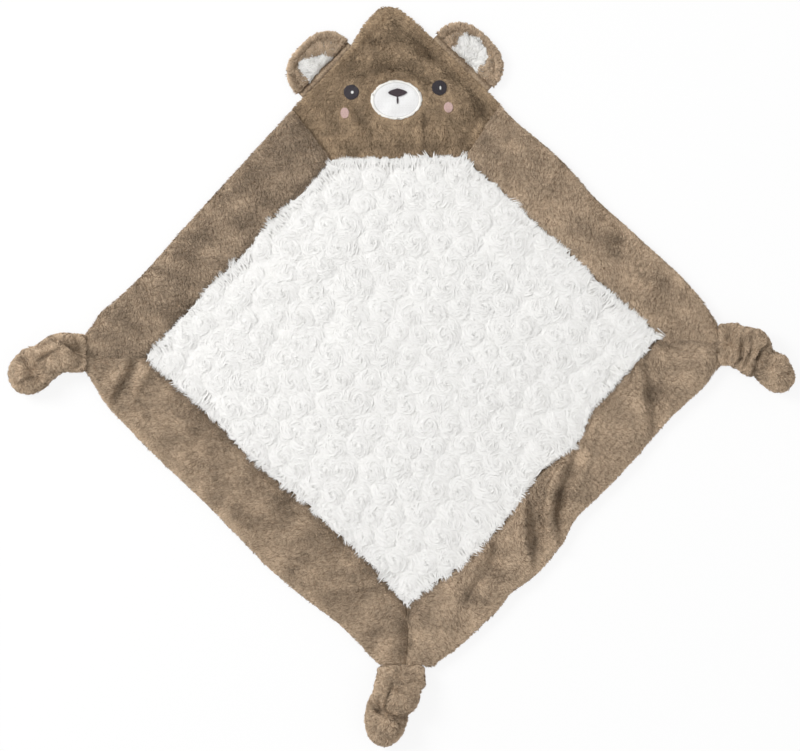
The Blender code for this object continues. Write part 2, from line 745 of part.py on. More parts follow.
def knot_mesh(side, turn):
    """The gathered corner, from its rounded neck through the overhand knot to its tail."""
    route, sections = knot_sections(turn)
    gap = least_gap(route, [high for _, high in sections])
    print(f"{side} knot: least gap to itself {gap:.5f} m")
    stations = []
    for share in NECK_END_SHARES:
        back = route[0] - Vector((NECK_RADIUS * share, 0.0, 0.0))
        wide = NECK_HALF_WIDTH * (1 - NECK_END_TAPER_SHARE * share)
        high = NECK_RADIUS * math.sqrt(1 - share**2)
        stations.append((back, Vector((1.0, 0.0, 0.0)), wide, high))
    for k, (place, (wide, high)) in enumerate(zip(route, sections)):
        ahead = route[min(k + 1, len(route) - 1)] - route[max(k - 1, 0)]
        if k == 0:
            ahead = Vector((1.0, 0.0, 0.0))
        stations.append((place, ahead.normalized(), wide, high))
    place, ahead, wide, high = stations[-1]
    for share in TAIL_END_SHARES:
        shrink = math.sqrt(1 - share**2)
        end = place + ahead * high * share
        stations.append((end, ahead, wide * (1 + shrink) / 2, high * shrink))
    bm = bmesh.new()
    rings = []
    for place, ahead, wide, high in stations:
        side = UP.cross(ahead).normalized()
        top = ahead.cross(side)
        ring = []
        for k in range(KNOT_SIDES):
            turn = math.tau * k / KNOT_SIDES
            corner = place + side * wide * math.cos(turn) + top * high * math.sin(turn)
            ring.append(bm.verts.new(corner))
        rings.append(ring)
    for ring, following in zip(rings, rings[1:]):
        for k in range(KNOT_SIDES):
            after = (k + 1) % KNOT_SIDES
            bm.faces.new((ring[k], ring[after], following[after], following[k]))
    bm.faces.new(rings[0][::-1])
    bm.faces.new(rings[-1])
    return bm


def knots():
    """The three knots, each on an empty whose Y lies along its neck's fold line."""
    reach = NECK_DISTANCE + FIT + NECK_RADIUS
    for side, (corner, turn) in KNOT_PLACES.items():
        angle = math.radians(corner)
        place = Vector((math.cos(angle), math.sin(angle), 0.0)) * reach + UP * NECK_HEIGHT
        pivot = empty(f"{side}_neck_fold", place, angle)
        mesh = finish_mesh(f"{side}_knot", knot_mesh(side, math.radians(turn)))
        add_object(f"{side}_knot", mesh, BROWN).parent = pivot


def build():
    clear_scene()
    collection(PARTS)
    back_panel()
    center_panel()
    border_strips()
    face_details(head())
    ears()
    knots()


build()
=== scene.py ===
"""Looks of a plush comfort blanket with a bear's head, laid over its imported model.

The blanket lies on its back: a curly white centre inside four brown strips, the bear's face on the
upper corner with two ears at its edges, and a knot in each of the other corners. Every cloth is a
closed layer modelled on the sewing plan, and its pile is a piece of its own: tufts that grow out
of the finished cloth. All sizes are in metres, X to the right, Y to the head, Z up.
"""

from __future__ import annotations

import logging
import math
from collections.abc import Callable
from dataclasses import dataclass
from enum import Enum

import bmesh
import bpy
import numpy as np
from mathutils import Matrix, Vector


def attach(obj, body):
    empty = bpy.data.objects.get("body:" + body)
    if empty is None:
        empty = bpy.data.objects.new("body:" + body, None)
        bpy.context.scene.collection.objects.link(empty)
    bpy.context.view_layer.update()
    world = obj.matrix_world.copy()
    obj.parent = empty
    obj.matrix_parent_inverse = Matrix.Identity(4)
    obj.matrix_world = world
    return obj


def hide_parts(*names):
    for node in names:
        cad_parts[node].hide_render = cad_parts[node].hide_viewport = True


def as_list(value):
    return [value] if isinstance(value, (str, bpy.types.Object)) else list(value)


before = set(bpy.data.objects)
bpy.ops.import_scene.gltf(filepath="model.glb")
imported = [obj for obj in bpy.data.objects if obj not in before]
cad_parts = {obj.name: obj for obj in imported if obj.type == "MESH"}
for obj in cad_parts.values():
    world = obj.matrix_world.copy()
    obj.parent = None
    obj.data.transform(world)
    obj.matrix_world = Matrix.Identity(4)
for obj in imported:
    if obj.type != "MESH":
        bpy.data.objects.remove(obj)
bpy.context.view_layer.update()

MM = 0.001
JOIN = 0.02 * MM
PILE_MAP = "OFBake"
UP = np.array((0.0, 0.0, 1.0))
Array = np.ndarray
Net = bmesh.types.BMesh
Piece = bpy.types.Object
Material = bpy.types.Material
Tree = bpy.types.NodeTree
Socket = bpy.types.NodeSocket
Value = Socket | float | tuple[float, ...]
Height = Callable[[Array], Array]
log = logging.getLogger("comfort_blanket")


def heading(degrees: float) -> Array:
    """The way in plan that an angle points to."""
    turn = math.radians(degrees)
    return np.array((math.cos(turn), math.sin(turn)))


class Side(Enum):
    """The four sewn edges of the square, by the angle of their outward way."""

    UPPER_RIGHT = 45
    UPPER_LEFT = 135
    LOWER_LEFT = 225
    LOWER_RIGHT = 315

    @property
    def out(self) -> Array:
        """The edge's outward way in plan."""
        return heading(self.value)


class Corner(Enum):
    """The three knotted corners: the angle they point to, and how far their knot lies aside."""

    LEFT = (180, 14)
    RIGHT = (0, -26)
    BOTTOM = (270, -21)
    @property
    def out(self) -> Array:
        """The corner's outward way in plan."""
        return heading(self.value[0])


# ---------------------------------------------------------------- small tools


def linear(code: str) -> tuple[float, float, float, float]:
    """Turns an sRGB hex code to a linear colour.

    Args:
        code: six hex digits after a hash.

    Returns:
        Red, green, blue and an alpha of one.
    """
    parts = [int(code[k : k + 2], 16) / 255 for k in (1, 3, 5)]
    return (*[p / 12.92 if p <= 0.04045 else ((p + 0.055) / 1.055) ** 2.4 for p in parts], 1.0)


def add_node(tree: Tree, kind: str, inputs: dict | None = None, **settings) -> bpy.types.Node:
    """Adds a node with its settings, values and links.

    Args:
        tree: the tree that gets the node.
        kind: the node's type, such as ShaderNodeMath.
        inputs: a socket to link, or a value, for each input's name or number.
        **settings: the node's own properties.

    Returns:
        The new node.
    """
    made = tree.nodes.new(kind)
    for name, value in settings.items():
        setattr(made, name, value)
    for key, value in (inputs or {}).items():
        if isinstance(value, Socket):
            tree.links.new(value, made.inputs[key])
        else:
            made.inputs[key].default_value = value
    return made


def smooth(share: Array) -> Array:
    """An even step from 0 to 1 with soft ends."""
    share = np.clip(share, 0.0, 1.0)
    return share * share * (3 - 2 * share)


def rise(share: Array) -> Array:
    """A quarter round from 0 at a seam to 1 on the crown."""
    return np.sqrt(1 - (1 - np.clip(share, 0.0, 1.0)) ** 2)


def bell(share: Array) -> Array:
    """A bell that is 1 at zero and fades out by 2."""
    return np.exp(-(share**2))


def unit(v: Array) -> Array:
    """The vectors at a length of one."""
    return v / np.maximum(np.linalg.norm(v, axis=-1, keepdims=True), 1e-9)


@dataclass(frozen=True)
class Ripple:
    """Smooth uneven ground: a sum of plane waves of about one length, the same in every run."""

    length: float
    seed: int
    waves: int = 14

    def at(self, p: Array) -> Array:
        """The ripple at each place.

        Args:
            p: places, X and Y.

        Returns:
            Values of about -1 to 1.
        """
        rng = np.random.default_rng(self.seed)
        turns = rng.uniform(0, math.tau, self.waves)
        phases = rng.uniform(0, math.tau, self.waves)
        lengths = self.length * rng.uniform(0.7, 1.5, self.waves)
        total = np.zeros(len(p))
        for turn, phase, length in zip(turns, phases, lengths):
            total += np.sin((p[:, 0] * math.cos(turn) + p[:, 1] * math.sin(turn)) * math.tau / length + phase)
        return total * math.sqrt(2 / self.waves) * 0.6


def new_object(name: str, mesh: bpy.types.Mesh, material: Material) -> Piece:
    """Shows a mesh as a piece with one material.

    Args:
        name: the piece's name.
        mesh: its mesh.
        material: its only material.

    Returns:
        The piece.
    """
    made = bpy.data.objects.new(name, mesh)
    mesh.materials.clear()
    mesh.materials.append(material)
    bpy.context.scene.collection.objects.link(made)
    return made


def mesh_points(mesh: bpy.types.Mesh) -> Array:
    """All vertices of a mesh as an array."""
    flat = np.empty(len(mesh.vertices) * 3)
    mesh.vertices.foreach_get("co", flat)
    return flat.reshape(-1, 3)


def put_points(mesh: bpy.types.Mesh, points: Array) -> None:
    """Moves all vertices of a mesh."""
    mesh.vertices.foreach_set("co", np.ascontiguousarray(points, dtype=np.float32).ravel())
    mesh.update()
def finished(bm: Net, name: str) -> bpy.types.Mesh:
    """Turns a net, which is used up, into a mesh.

    Args:
        bm: the net.
        name: the mesh's name.

    Returns:
        The mesh.
    """
    mesh = bpy.data.meshes.new(name)
    bm.to_mesh(mesh)
    bm.free()
    return mesh


def baked(made: Piece) -> Piece:
    """Applies a piece's modifiers to its mesh.

    Args:
        made: the piece.

    Returns:
        The same piece.
    """
    graph = bpy.context.evaluated_depsgraph_get()
    mesh = bpy.data.meshes.new_from_object(made.evaluated_get(graph), depsgraph=graph)
    old = made.data
    made.modifiers.clear()
    made.data = mesh
    bpy.data.meshes.remove(old)
    mesh.name = made.name
    return made


# ---------------------------------------------------------------- the sewing plan


# How far the photo's seam and outer edge lie outside the straight plan: places along each side,
# counted anticlockwise from its middle, and offsets, in mm.
SEAM_WAVES = {
    Side.UPPER_RIGHT: ((-103, 3), (-62, 1.6), (-19, 1.2), (55, -0.4), (72, 0)),
    Side.UPPER_LEFT: ((-75, 0), (-57, 0.6), (-36, -1.2), (-4, 1.8), (20, -0.8), (56, 0.6), (116, -1)),
    Side.LOWER_LEFT: ((-115, 0), (-56, -1), (-6, 0.4), (22, -3), (81, -4), (113, 0.5)),
    Side.LOWER_RIGHT: ((-118, -2.6), (-96, 0.4), (-73, 5.8), (-30, 6.4), (-11, 1.4), (2, 0.9), (35, 5.6),
                       (54, -2.4), (119, -3.2)),
}
EDGE_WAVES = {
    Side.UPPER_RIGHT: ((-120, -0.8), (-96, 0.6), (-78, 0.2), (-56, -0.3), (-20, -1.2), (7, 1.6), (25, 1),
                       (49, -1), (74, 0.8), (123, 0.2), (146, -0.4)),
    Side.UPPER_LEFT: ((-138, 3.8), (-119, 1.2), (-90, 0), (-72, 0.8), (-26, 0.2), (47, -1.4), (62, -2.4),
                      (91, -2.6), (118, -0.6)),
    Side.LOWER_LEFT: ((-129, 0), (-106, 0), (-76, 1.4), (-19, 1.5), (35, 3.7), (65, 1.7), (90, -1.6),
                      (109, -1.9), (128, -2)),
    Side.LOWER_RIGHT: ((-132, -0.4), (-93, 1.7), (-75, 2.6), (-66, 0), (-54, 3.4), (-42, 4.6), (-18, 3),
                       (-4, -2.2), (10, -2), (30, -0.8), (54, -1.1), (83, -2.9), (125, -0.4)),
}


# Where the photo shows each neck: how far aside of its corner's middle, and half its width, in mm.
NECKS = {Corner.LEFT: (3.1, 12.4), Corner.RIGHT: (-1.4, 13.4), Corner.BOTTOM: (-2.9, 16.8)}


@dataclass(frozen=True)
class Plan:
    """Where the blanket's edges and seams run, measured from its centre."""

    half_diagonal: float = 0.220
    border_width: float = 0.040
    neck_cut: float = 0.018
    tip_cut: float = 0.0034
    seam_drop: float = 0.098
    seam_half_width: float = 0.043
    side_run: tuple[float, float] = (0.023, 0.033)
    edge_lift: float = 0.0010
    seam_blend: float = 0.026
    neck_run: float = 0.030
    shoulder_run: float = 0.017
    tip_start: float = 0.035
    tip_run: float = 0.031
    tip_widening: float = 0.22
    tip_dip: float = 0.3 * MM

    @property
    def half_side(self) -> float:
        """From the centre to a sewn edge."""
        return self.half_diagonal / math.sqrt(2)

    @property
    def center_half_side(self) -> float:
        """From the centre to the white panel's seam."""
        return self.half_side - self.border_width

    @property
    def neck_distance(self) -> float:
        """From the centre to a knot's neck."""
        return self.half_diagonal - self.neck_cut

    @property
    def seam_height(self) -> float:
        """The face's lower seam."""
        return self.half_diagonal - self.seam_drop

    @property
    def tip_radius(self) -> float:
        """The radius of the head's round tip."""
        return self.tip_cut / (math.sqrt(2) - 1)

    @property
    def tip_middle(self) -> float:
        """How far up the middle of the head's round tip lies."""
        return self.half_diagonal - self.tip_cut - self.tip_radius

    def round_tip(self, bm: Net, turns: tuple[float, ...]) -> None:
        """Rounds a net's corner at the head's tip by straight cuts.

        Args:
            bm: the net.
            turns: the angle that each cut faces, in degrees.
        """
        for out in map(heading, turns):
            trim(bm, (0.0, self.tip_middle) + out * self.tip_radius, -out)

    def edge_depth(self, p: Array) -> Array:
        """How far inside the sewn outline each place lies, the head's round tip included.

        Args:
            p: places, X and Y.

        Returns:
            Metres, below zero outside.
        """
        depth = np.min([self.half_side - p @ side.out for side in Side], axis=0)
        off = p - np.array((0.0, self.tip_middle))
        tip = off[:, 1] > np.abs(off[:, 0])
        return np.where(tip, np.minimum(depth, self.tip_radius - np.linalg.norm(off, axis=1)), depth)

    def inner_depth(self, p: Array) -> Array:
        """How far outside the white panel's square each place lies."""
        return np.max([p @ side.out for side in Side], axis=0) - self.center_half_side

    def side_seam_depth(self, p: Array) -> Array:
        """How far inside the face's two side seams each place lies.

        Args:
            p: places, X and Y.

        Returns:
            Metres, below zero outside.
        """
        run = np.array(self.side_run) / math.hypot(*self.side_run)
        off = np.abs(p[:, 0]) - self.seam_half_width
        return run[0] * (p[:, 1] - self.seam_height) - run[1] * off

    def face_depth(self, p: Array) -> Array:
        """How far inside the whole face each place lies."""
        below = p[:, 1] - self.seam_height
        return np.min([below, self.side_seam_depth(p), self.edge_depth(p)], axis=0)

    def edge_lifted(self, p: Array) -> Array:
        """How far the sewn edge curls up off the table here."""
        return self.edge_lift * (1 - smooth(self.edge_depth(p) / (8 * MM)))

    def wave(self, along: Array, table: tuple[tuple[float, float], ...]) -> Array:
        """Reads a table of offsets with its corners rounded off."""
        places, offsets = np.array(table, dtype=float).T * MM
        return np.mean([np.interp(along + near * MM, places, offsets) for near in (-5, -2.5, 0, 2.5, 5)], axis=0)

    def laid(self, points: Array) -> Array:
        """Lays the flat plan down as the photo shows it: its edges and seams wave, and its corners
        are drawn together towards their knots.

        Args:
            points: places on the flat plan.

        Returns:
            The places where they lie.
        """
        moved = points.copy()
        for side in Side:
            out = side.out
            along = points[:, :2] @ np.array((-out[1], out[0]))
            past = points[:, :2] @ out - self.center_half_side
            share = np.clip(past / self.border_width, 0.0, 1.0)
            shift = self.wave(along, SEAM_WAVES[side]) * (1 - share) + self.wave(along, EDGE_WAVES[side]) * share
            moved[:, :2] += (shift * smooth(1 + past / self.seam_blend))[:, None] * out
        for corner, (aside, half) in NECKS.items():
            cross = 0 if corner is Corner.BOTTOM else 1
            x, y = corner.out
            past = moved[:, 0] * x + moved[:, 1] * y - self.neck_distance
            near, tight = (smooth((past + run) / run) ** 2 for run in (self.neck_run, self.shoulder_run))
            moved[:, cross] *= 1 - (1 - half * MM / self.neck_cut) * tight
            moved[:, cross] += aside * MM * near
        top = np.clip((moved[:, 1] - self.half_diagonal + self.tip_start) / self.tip_run, 0.0, 1.1)
        moved[:, 0] *= 1 + self.tip_widening * top**2
        moved[:, 1] -= self.tip_dip * top**4
        return moved


@dataclass(frozen=True)
class Crease:
    """A fold or a ridge that the photo shows: its two ends in mm, its depth and half width in mm."""

    start: tuple[float, float]
    end: tuple[float, float]
    depth: float
    half_width: float
    shoulder: float = 0.5

    def at(self, p: Array) -> Array:
        """How far the cloth sinks at each place.

        Args:
            p: places, X and Y, in metres.

        Returns:
            Metres down, and below zero on the fold's ridge, on the right of its way, from which
            it drops more steeply than it climbs on the left.
        """
        a, b = np.array(self.start) * MM, np.array(self.end) * MM
        along = unit(b - a)
        span = np.linalg.norm(b - a)
        off = p - a
        run = off @ along
        side = (off @ np.array((-along[1], along[0]))) / (self.half_width * MM)
        past = np.maximum(np.maximum(-run, run - span), 0.0) / (2.2 * self.half_width * MM)
        valley = bell(side / np.where(side > 0, 1.6, 0.65))
        ridge = bell((side + 1.25) / 0.75)
        return self.depth * MM * bell(past) * (valley - self.shoulder * ridge)
def sunk(creases: tuple[Crease, ...], p: Array) -> Array:
    """How far all creases together sink the cloth at each place."""
    return sum(crease.at(p) for crease in creases)

BORDER_CREASES = (
    Crease((156, -13), (159, -52), 4.4, 4.6, 0.6),
    Crease((170, -8), (176, -30), 1.4, 4),
    Crease((103.6, -68), (94.4, -99.5), 4, 4.2, 0.9),
    Crease((94.4, -99.5), (92, -111), 2.6, 4, 0.9),
    Crease((92, -111), (94.6, -121), 2.6, 3.4, 0.9),
    Crease((77.5, -91), (75.4, -116), 3.2, 4.2, 0.8),
    Crease((75.4, -116), (77.4, -133), 2.8, 4.2, 0.8),
    Crease((50.6, -123), (48.6, -136), 2.2, 3.6, 0.6),
    Crease((122, -62), (112, -92), 1.6, 5.5, 0.3),
    Crease((49.2, -123.9), (37, -154.8), 3, 4.6),
    Crease((20, -142), (12, -174), 1.4, 4.4),
    Crease((-172.2, -7.4), (-180.8, -23), 2.8, 4),
    Crease((-157, -8), (-166, -26), 1.2, 4.6),
    Crease((-151.5, 34), (-131, 43), 2.2, 6, 0.3),
    Crease((-137, 22), (-120, 34), 1.4, 6.5, 0.3),
    Crease((-184, 12), (-172, 20), 1.2, 4.5, 0.3),
    Crease((-110, 64), (-92, 72), 1.8, 6, 0.3),
    Crease((-82, 92), (-64, 96), 1.6, 5, 0.3),
    Crease((-104, -92), (-90, -116), 1.3, 7, 0.3),
    Crease((-60, -134), (-52, -154), 1.1, 6, 0.3),
    Crease((62, 118), (70, 130), 1.6, 4.4),
    Crease((112, 56), (124, 74), 1.3, 7, 0.3),
    Crease((160, 14), (172, 34), 1.5, 6, 0.3),
)
FACE_CREASES = (
    Crease((-51, 136), (-44, 139), 2.2, 2.3),
    Crease((-44, 139), (-36, 139), 2.4, 2.3),
    Crease((-37, 131.5), (-29, 127), 1.8, 2.8),
    Crease((17.5, 147), (16.5, 130), 2.6, 2.6),
    Crease((33.5, 145), (33, 134), 1.4, 2.8),
    Crease((-21, 172.6), (-9, 179), 2.4, 4.2, 0.6),
    Crease((-9, 179), (6, 180.2), 2.6, 4.2, 0.6),
    Crease((6, 180.2), (14, 175), 2.2, 4, 0.6),
    Crease((-12, 195.4), (4, 195.8), 1.6, 2.4),
    Crease((12, 190), (30, 184), 1.6, 3),
    Crease((-22, 190), (-34, 180), 1.3, 3.2),
    Crease((52, 152), (61, 140), 1.8, 2.8),
    Crease((-24, 150), (-20, 144), 1.5, 3.4),
    Crease((44, 170), (50, 158), 1.1, 3.4),
)


@dataclass(frozen=True)
class Relief:
    """How high each cloth of the blanket stands, as functions of the place."""

    plan: Plan = Plan()
    back_thickness: float = 0.0020
    fit: float = 0.0003
    seam_top: float = 0.0044
    edge_top: float = 0.0050
    border_crown: float = 0.0090
    border_run: float = 0.0125
    pad_edge: float = 0.0012
    pad_rise: float = 0.0075
    pad_run: float = 0.030
    pad_inset: float = 0.008
    backing_thickness: float = 0.0005
    face_thickness: float = 0.0020
    face_edge_thickness: float = 0.0016

    def back_low(self, p: Array) -> Array:
        """The back cloth's underside."""
        return self.plan.edge_lifted(p)

    def back_top(self, p: Array) -> Array:
        """The back cloth's inner face."""
        return self.back_thickness + self.plan.edge_lifted(p)

    def front_low(self, p: Array) -> Array:
        """The underside of the front cloths, on the back cloth."""
        return self.back_top(p) + self.fit

    def border_high(self, p: Array) -> Array:
        """The top of a border strip, with its rolled edge, seams, dips and creases.

        Args:
            p: places, X and Y.

        Returns:
            The heights.
        """
        plan = self.plan
        seam = plan.inner_depth(p)
        mitre = np.where(np.abs(p[:, 0]) > np.abs(p[:, 1]), np.abs(p[:, 1]), np.abs(p[:, 0]))
        mitre = np.where(p[:, 1] > 40 * MM, 1.0, mitre)
        face = np.where(p[:, 1] > 60 * MM, -plan.side_seam_depth(p), 1.0)
        start = self.seam_top + (self.edge_top - self.seam_top) * plan.edge_lifted(p) / plan.edge_lift
        crown = rise(plan.edge_depth(p) / self.border_run) * (0.08 + 0.92 * rise(smooth(seam / (9.0 * MM))))
        crown *= 1 - 0.30 * bell(mitre / (3.0 * MM))
        crown *= 1 - 0.45 * bell(face / (3.0 * MM))
        ground = 0.85 * MM * Ripple(44 * MM, 3).at(p) + 0.42 * MM * Ripple(17 * MM, 4).at(p)
        high = start + (self.border_crown - start + ground - sunk(BORDER_CREASES, p)) * crown
        return np.maximum(high, self.front_low(p) + 1.2 * MM)

    def pad_top(self, p: Array) -> Array:
        """The top of the wadding inside the head."""
        share = (self.plan.face_depth(p) - self.pad_inset) / self.pad_run
        return self.back_thickness + self.fit + self.pad_edge + self.pad_rise * rise(share)

    def face_low(self, p: Array) -> Array:
        """The face's underside: on the embroidery's backing, and on the back cloth at its rim.

        Args:
            p: places, X and Y.

        Returns:
            The heights.
        """
        share = np.clip(self.plan.face_depth(p) / self.pad_inset, 0.0, 1.0)
        rim = self.front_low(p)
        inside = self.pad_top(p) + 2 * self.fit + self.backing_thickness
        return rim + (inside - rim) * share

    def face_high(self, p: Array) -> Array:
        """The top of the face, with the dimple round its muzzle and its creases.

        Args:
            p: places, X and Y.

        Returns:
            The heights.
        """
        share = np.clip(self.plan.face_depth(p) / self.pad_inset, 0.0, 1.0)
        swell = (self.face_thickness - self.face_edge_thickness) * rise(share)
        off = np.hypot(p[:, 0] / (16.2 * MM), (p[:, 1] - 159.0 * MM) / (12.4 * MM))
        ring = 0.9 * MM * bell((off - 1.28) / 0.20) - 0.2 * MM * np.exp(-((off / 1.02) ** 8))
        ground = 0.50 * MM * Ripple(15 * MM, 8).at(p)
        high = self.face_low(p) + self.face_edge_thickness + swell
        relief = (ring + ground - sunk(FACE_CREASES, p)) * smooth(share)
        return np.maximum(high + relief, self.face_low(p) + 1.0 * MM)


# ---------------------------------------------------------------- finishes


def mix(tree: Tree, share: Value, first: Value, second: Value, **settings: str) -> Socket:
    """Mixes two colours.

    Args:
        tree: the material's tree.
        share: how much of the second colour there is.
        first: the first colour.
        second: the second colour.
        **settings: the mix node's own properties.

    Returns:
        The mixed colour.
    """
    inputs = {0: share, 6: first, 7: second}
    return add_node(tree, "ShaderNodeMix", inputs, data_type="RGBA", **settings).outputs[2]


def shaded(tree: Tree, colour: Value, tone: Socket) -> Socket:
    """Multiplies a colour by a tone."""
    grey = add_node(tree, "ShaderNodeCombineColor", {k: tone for k in range(3)})
    return mix(tree, 1.0, colour, grey.outputs[0], blend_type="MULTIPLY")


def new_material(name: str, constants: dict[str, Value]) -> tuple[Material, bpy.types.Node]:
    """Starts a material.

    Args:
        name: what it is.
        constants: its shader's constant inputs by their names.

    Returns:
        The material and its shader.
    """
    made = bpy.data.materials.new(name)
    made.use_nodes = True
    shader = made.node_tree.nodes["Principled BSDF"]
    for key, value in constants.items():
        shader.inputs[key].default_value = value
    return made, shader


@dataclass(frozen=True)
class VelourFinish:
    """Short-pile polyester velour. Its tufts are painted dark at the root and pale at the tip, as painted
    shade deep in the pile, so that it darkens where they part and pales where they lie over, and it
    glows softly at grazing angles."""

    name: str
    root: str
    tip: str
    slot: str
    roughness: float = 0.95
    sheen: float = 0.25
    tones: tuple[float, float] = (0.62, 1.34)

    @property
    def constants(self) -> dict[str, Value]:
        """The shader's constant inputs."""
        soft = {"Roughness": self.roughness, "Specular IOR Level": 0.2, "Sheen Weight": self.sheen}
        return soft | {"Sheen Roughness": 0.45, "Sheen Tint": linear(self.tip)}

    def pile(self) -> Material:
        """The finish of the tufts, which read their tone and their length from their own map."""
        made, shader = new_material(f"{self.name}_pile", self.constants)
        tree = made.node_tree
        place = add_node(tree, "ShaderNodeUVMap", uv_map=PILE_MAP)
        tone, length, _ = add_node(tree, "ShaderNodeSeparateXYZ", {0: place.outputs[0]}).outputs
        up = add_node(tree, "ShaderNodeMapRange", {0: length, 3: 0.25, 4: 1.0}, interpolation_type="SMOOTHSTEP")
        # Painted shade: each tuft is darker towards its root, where shade falls deep in the pile.
        colour = mix(tree, up.outputs[0], linear(self.root), linear(self.tip))
        # The tone carries the painted light and shade that each cloth lays on its tufts, as well as their random
        # tone.
        dark, light = self.tones
        tone = add_node(tree, "ShaderNodeMapRange", {0: tone, 3: dark, 4: light})
        tree.links.new(shaded(tree, colour, tone.outputs[0]), shader.inputs["Base Color"])
        return made

    def cloth(self) -> Material:
        """The finish of the cloth under the tufts: cloudy patches 12 mm wide and a 1.1 mm nap,
        coarser than the real threads so that it shows."""
        made, shader = new_material(f"{self.name}_cloth", self.constants)
        tree = made.node_tree
        place = add_node(tree, "ShaderNodeTexCoord").outputs["Object"]
        cloud, nap = (
            add_node(tree, "ShaderNodeTexNoise", {0: place, "Scale": 1 / (size * MM), "Detail": detail}).outputs[0]
            for size, detail in ((12, 3.0), (1.1, 2.0))
        )
        blend = add_node(tree, "ShaderNodeMath", {0: cloud, 1: nap}, operation="ADD")
        share = add_node(tree, "ShaderNodeMapRange", {0: blend.outputs[0], 1: 0.70, 2: 1.30})
        colour = mix(tree, share.outputs[0], linear(self.root), linear(self.tip))
        bump = add_node(tree, "ShaderNodeBump", {"Strength": 0.6, "Distance": 0.6 * MM, "Height": nap})
        tree.links.new(colour, shader.inputs["Base Color"])
        tree.links.new(bump.outputs[0], shader.inputs["Normal"])
        return made


@dataclass(frozen=True)
class StitchFinish:
    """Rayon embroidery thread, laid side by side. It is smooth along the thread, so each row of
    stitches shines a little, and the gaps between threads are painted darker as painted shade."""

    name: str
    colour: str
    # gap: the darker colour painted between threads as painted shade.
    gap: str
    slot: str
    thread: float = 0.55 * MM
    turn: float = 0.0
    bump: float = 0.7
    ring: tuple[float, float, float, float] | None = None
    ring_colour: str = "#F3F1EC"
    ring_start: float = 0.88

    def ringed(
        self, tree: Tree, place: Socket, fill: Socket
    ) -> Socket:
        """Lays a cream satin border round an oval of fill stitches, with a painted shade line between.

        Args:
            tree: the material's tree.
            place: the Object coordinates.
            fill: the colour of the fill stitches.

        Returns:
            The colour of both.
        """
        x, y, wide, tall = self.ring
        off = add_node(tree, "ShaderNodeVectorMath", {0: place, 1: (x, y, 0.0)}, operation="SUBTRACT")
        oval = add_node(tree, "ShaderNodeVectorMath", {0: off.outputs[0], 1: (wide, tall, 1e3)}, operation="DIVIDE")
        far = add_node(tree, "ShaderNodeVectorMath", {0: oval.outputs[0]}, operation="LENGTH").outputs["Value"]
        on_ring = add_node(
            tree, "ShaderNodeMapRange", {0: far, 1: self.ring_start - 0.005, 2: self.ring_start + 0.015}
        )
        both = mix(tree, on_ring.outputs[0], fill, linear(self.ring_colour))
        # Painted shade: a fine grey line along the groove between the satin border and the fill.
        gap = add_node(tree, "ShaderNodeMath", {0: far, 1: self.ring_start}, operation="SUBTRACT")
        gap = add_node(tree, "ShaderNodeMath", {0: gap.outputs[0]}, operation="ABSOLUTE")
        shade = add_node(tree, "ShaderNodeMapRange", {0: gap.outputs[0], 1: 0.0, 2: 0.03, 3: 0.72, 4: 1.0})
        return shaded(tree, both, shade.outputs[0])

    def material(self) -> Material:
        """Rows of stitches on Object coordinates, each row set off by part of a stitch."""
        made, shader = new_material(self.name, {"Roughness": 0.55, "Specular IOR Level": 0.4, "Sheen Weight": 0.15})
        tree = made.node_tree
        place = add_node(tree, "ShaderNodeTexCoord").outputs["Object"]
        turned = add_node(tree, "ShaderNodeMapping", {0: place, 2: (0.0, 0.0, self.turn)}).outputs[0]
        threads = {0: turned, "Scale": math.tau / (20 * self.thread), "Distortion": 1.2, "Detail": 2.0}
        rows = add_node(tree, "ShaderNodeTexWave", threads | {"Detail Scale": 1 / (2 * MM)}, bands_direction="X")
        stitches = {
            0: turned, "Scale": 1.0, "Mortar Size": 0.12 * MM, "Mortar Smooth": 0.6, "Brick Width": 3.2 * MM,
            "Row Height": self.thread * 1.6, "Color1": (1, 1, 1, 1), "Color2": (0.8, 0.8, 0.8, 1),
            "Mortar": (0, 0, 0, 1),
        }
        bricks = add_node(tree, "ShaderNodeTexBrick", stitches, offset=0.37)
        height = add_node(tree, "ShaderNodeMath", {0: rows.outputs[1], 1: bricks.outputs[0]}, operation="MULTIPLY")
        share = add_node(tree, "ShaderNodeMapRange", {0: height.outputs[0], 1: 0.0, 2: 0.6})
        # Painted shade: the low parts between threads and at the stitches' ends take the darker gap colour.
        colour = mix(tree, share.outputs[0], linear(self.gap), linear(self.colour))
        profile = {"Strength": self.bump, "Distance": 0.35 * MM, "Height": height.outputs[0]}
        bump = add_node(tree, "ShaderNodeBump", profile)
        shown = self.ringed(tree, place, colour) if self.ring else colour
        tree.links.new(shown, shader.inputs["Base Color"])
        tree.links.new(bump.outputs[0], shader.inputs["Normal"])
        return made


# Where the muzzle lies: its middle and its half sizes, in mm.
MUZZLE_MIDDLE, MUZZLE_HALF = (-0.2, 158.6), (16.2, 12.4)

BROWN_VELOUR = VelourFinish("brown_velour", "#7A6651", "#C8B299", "brown_plush", tones=(0.60, 1.30))
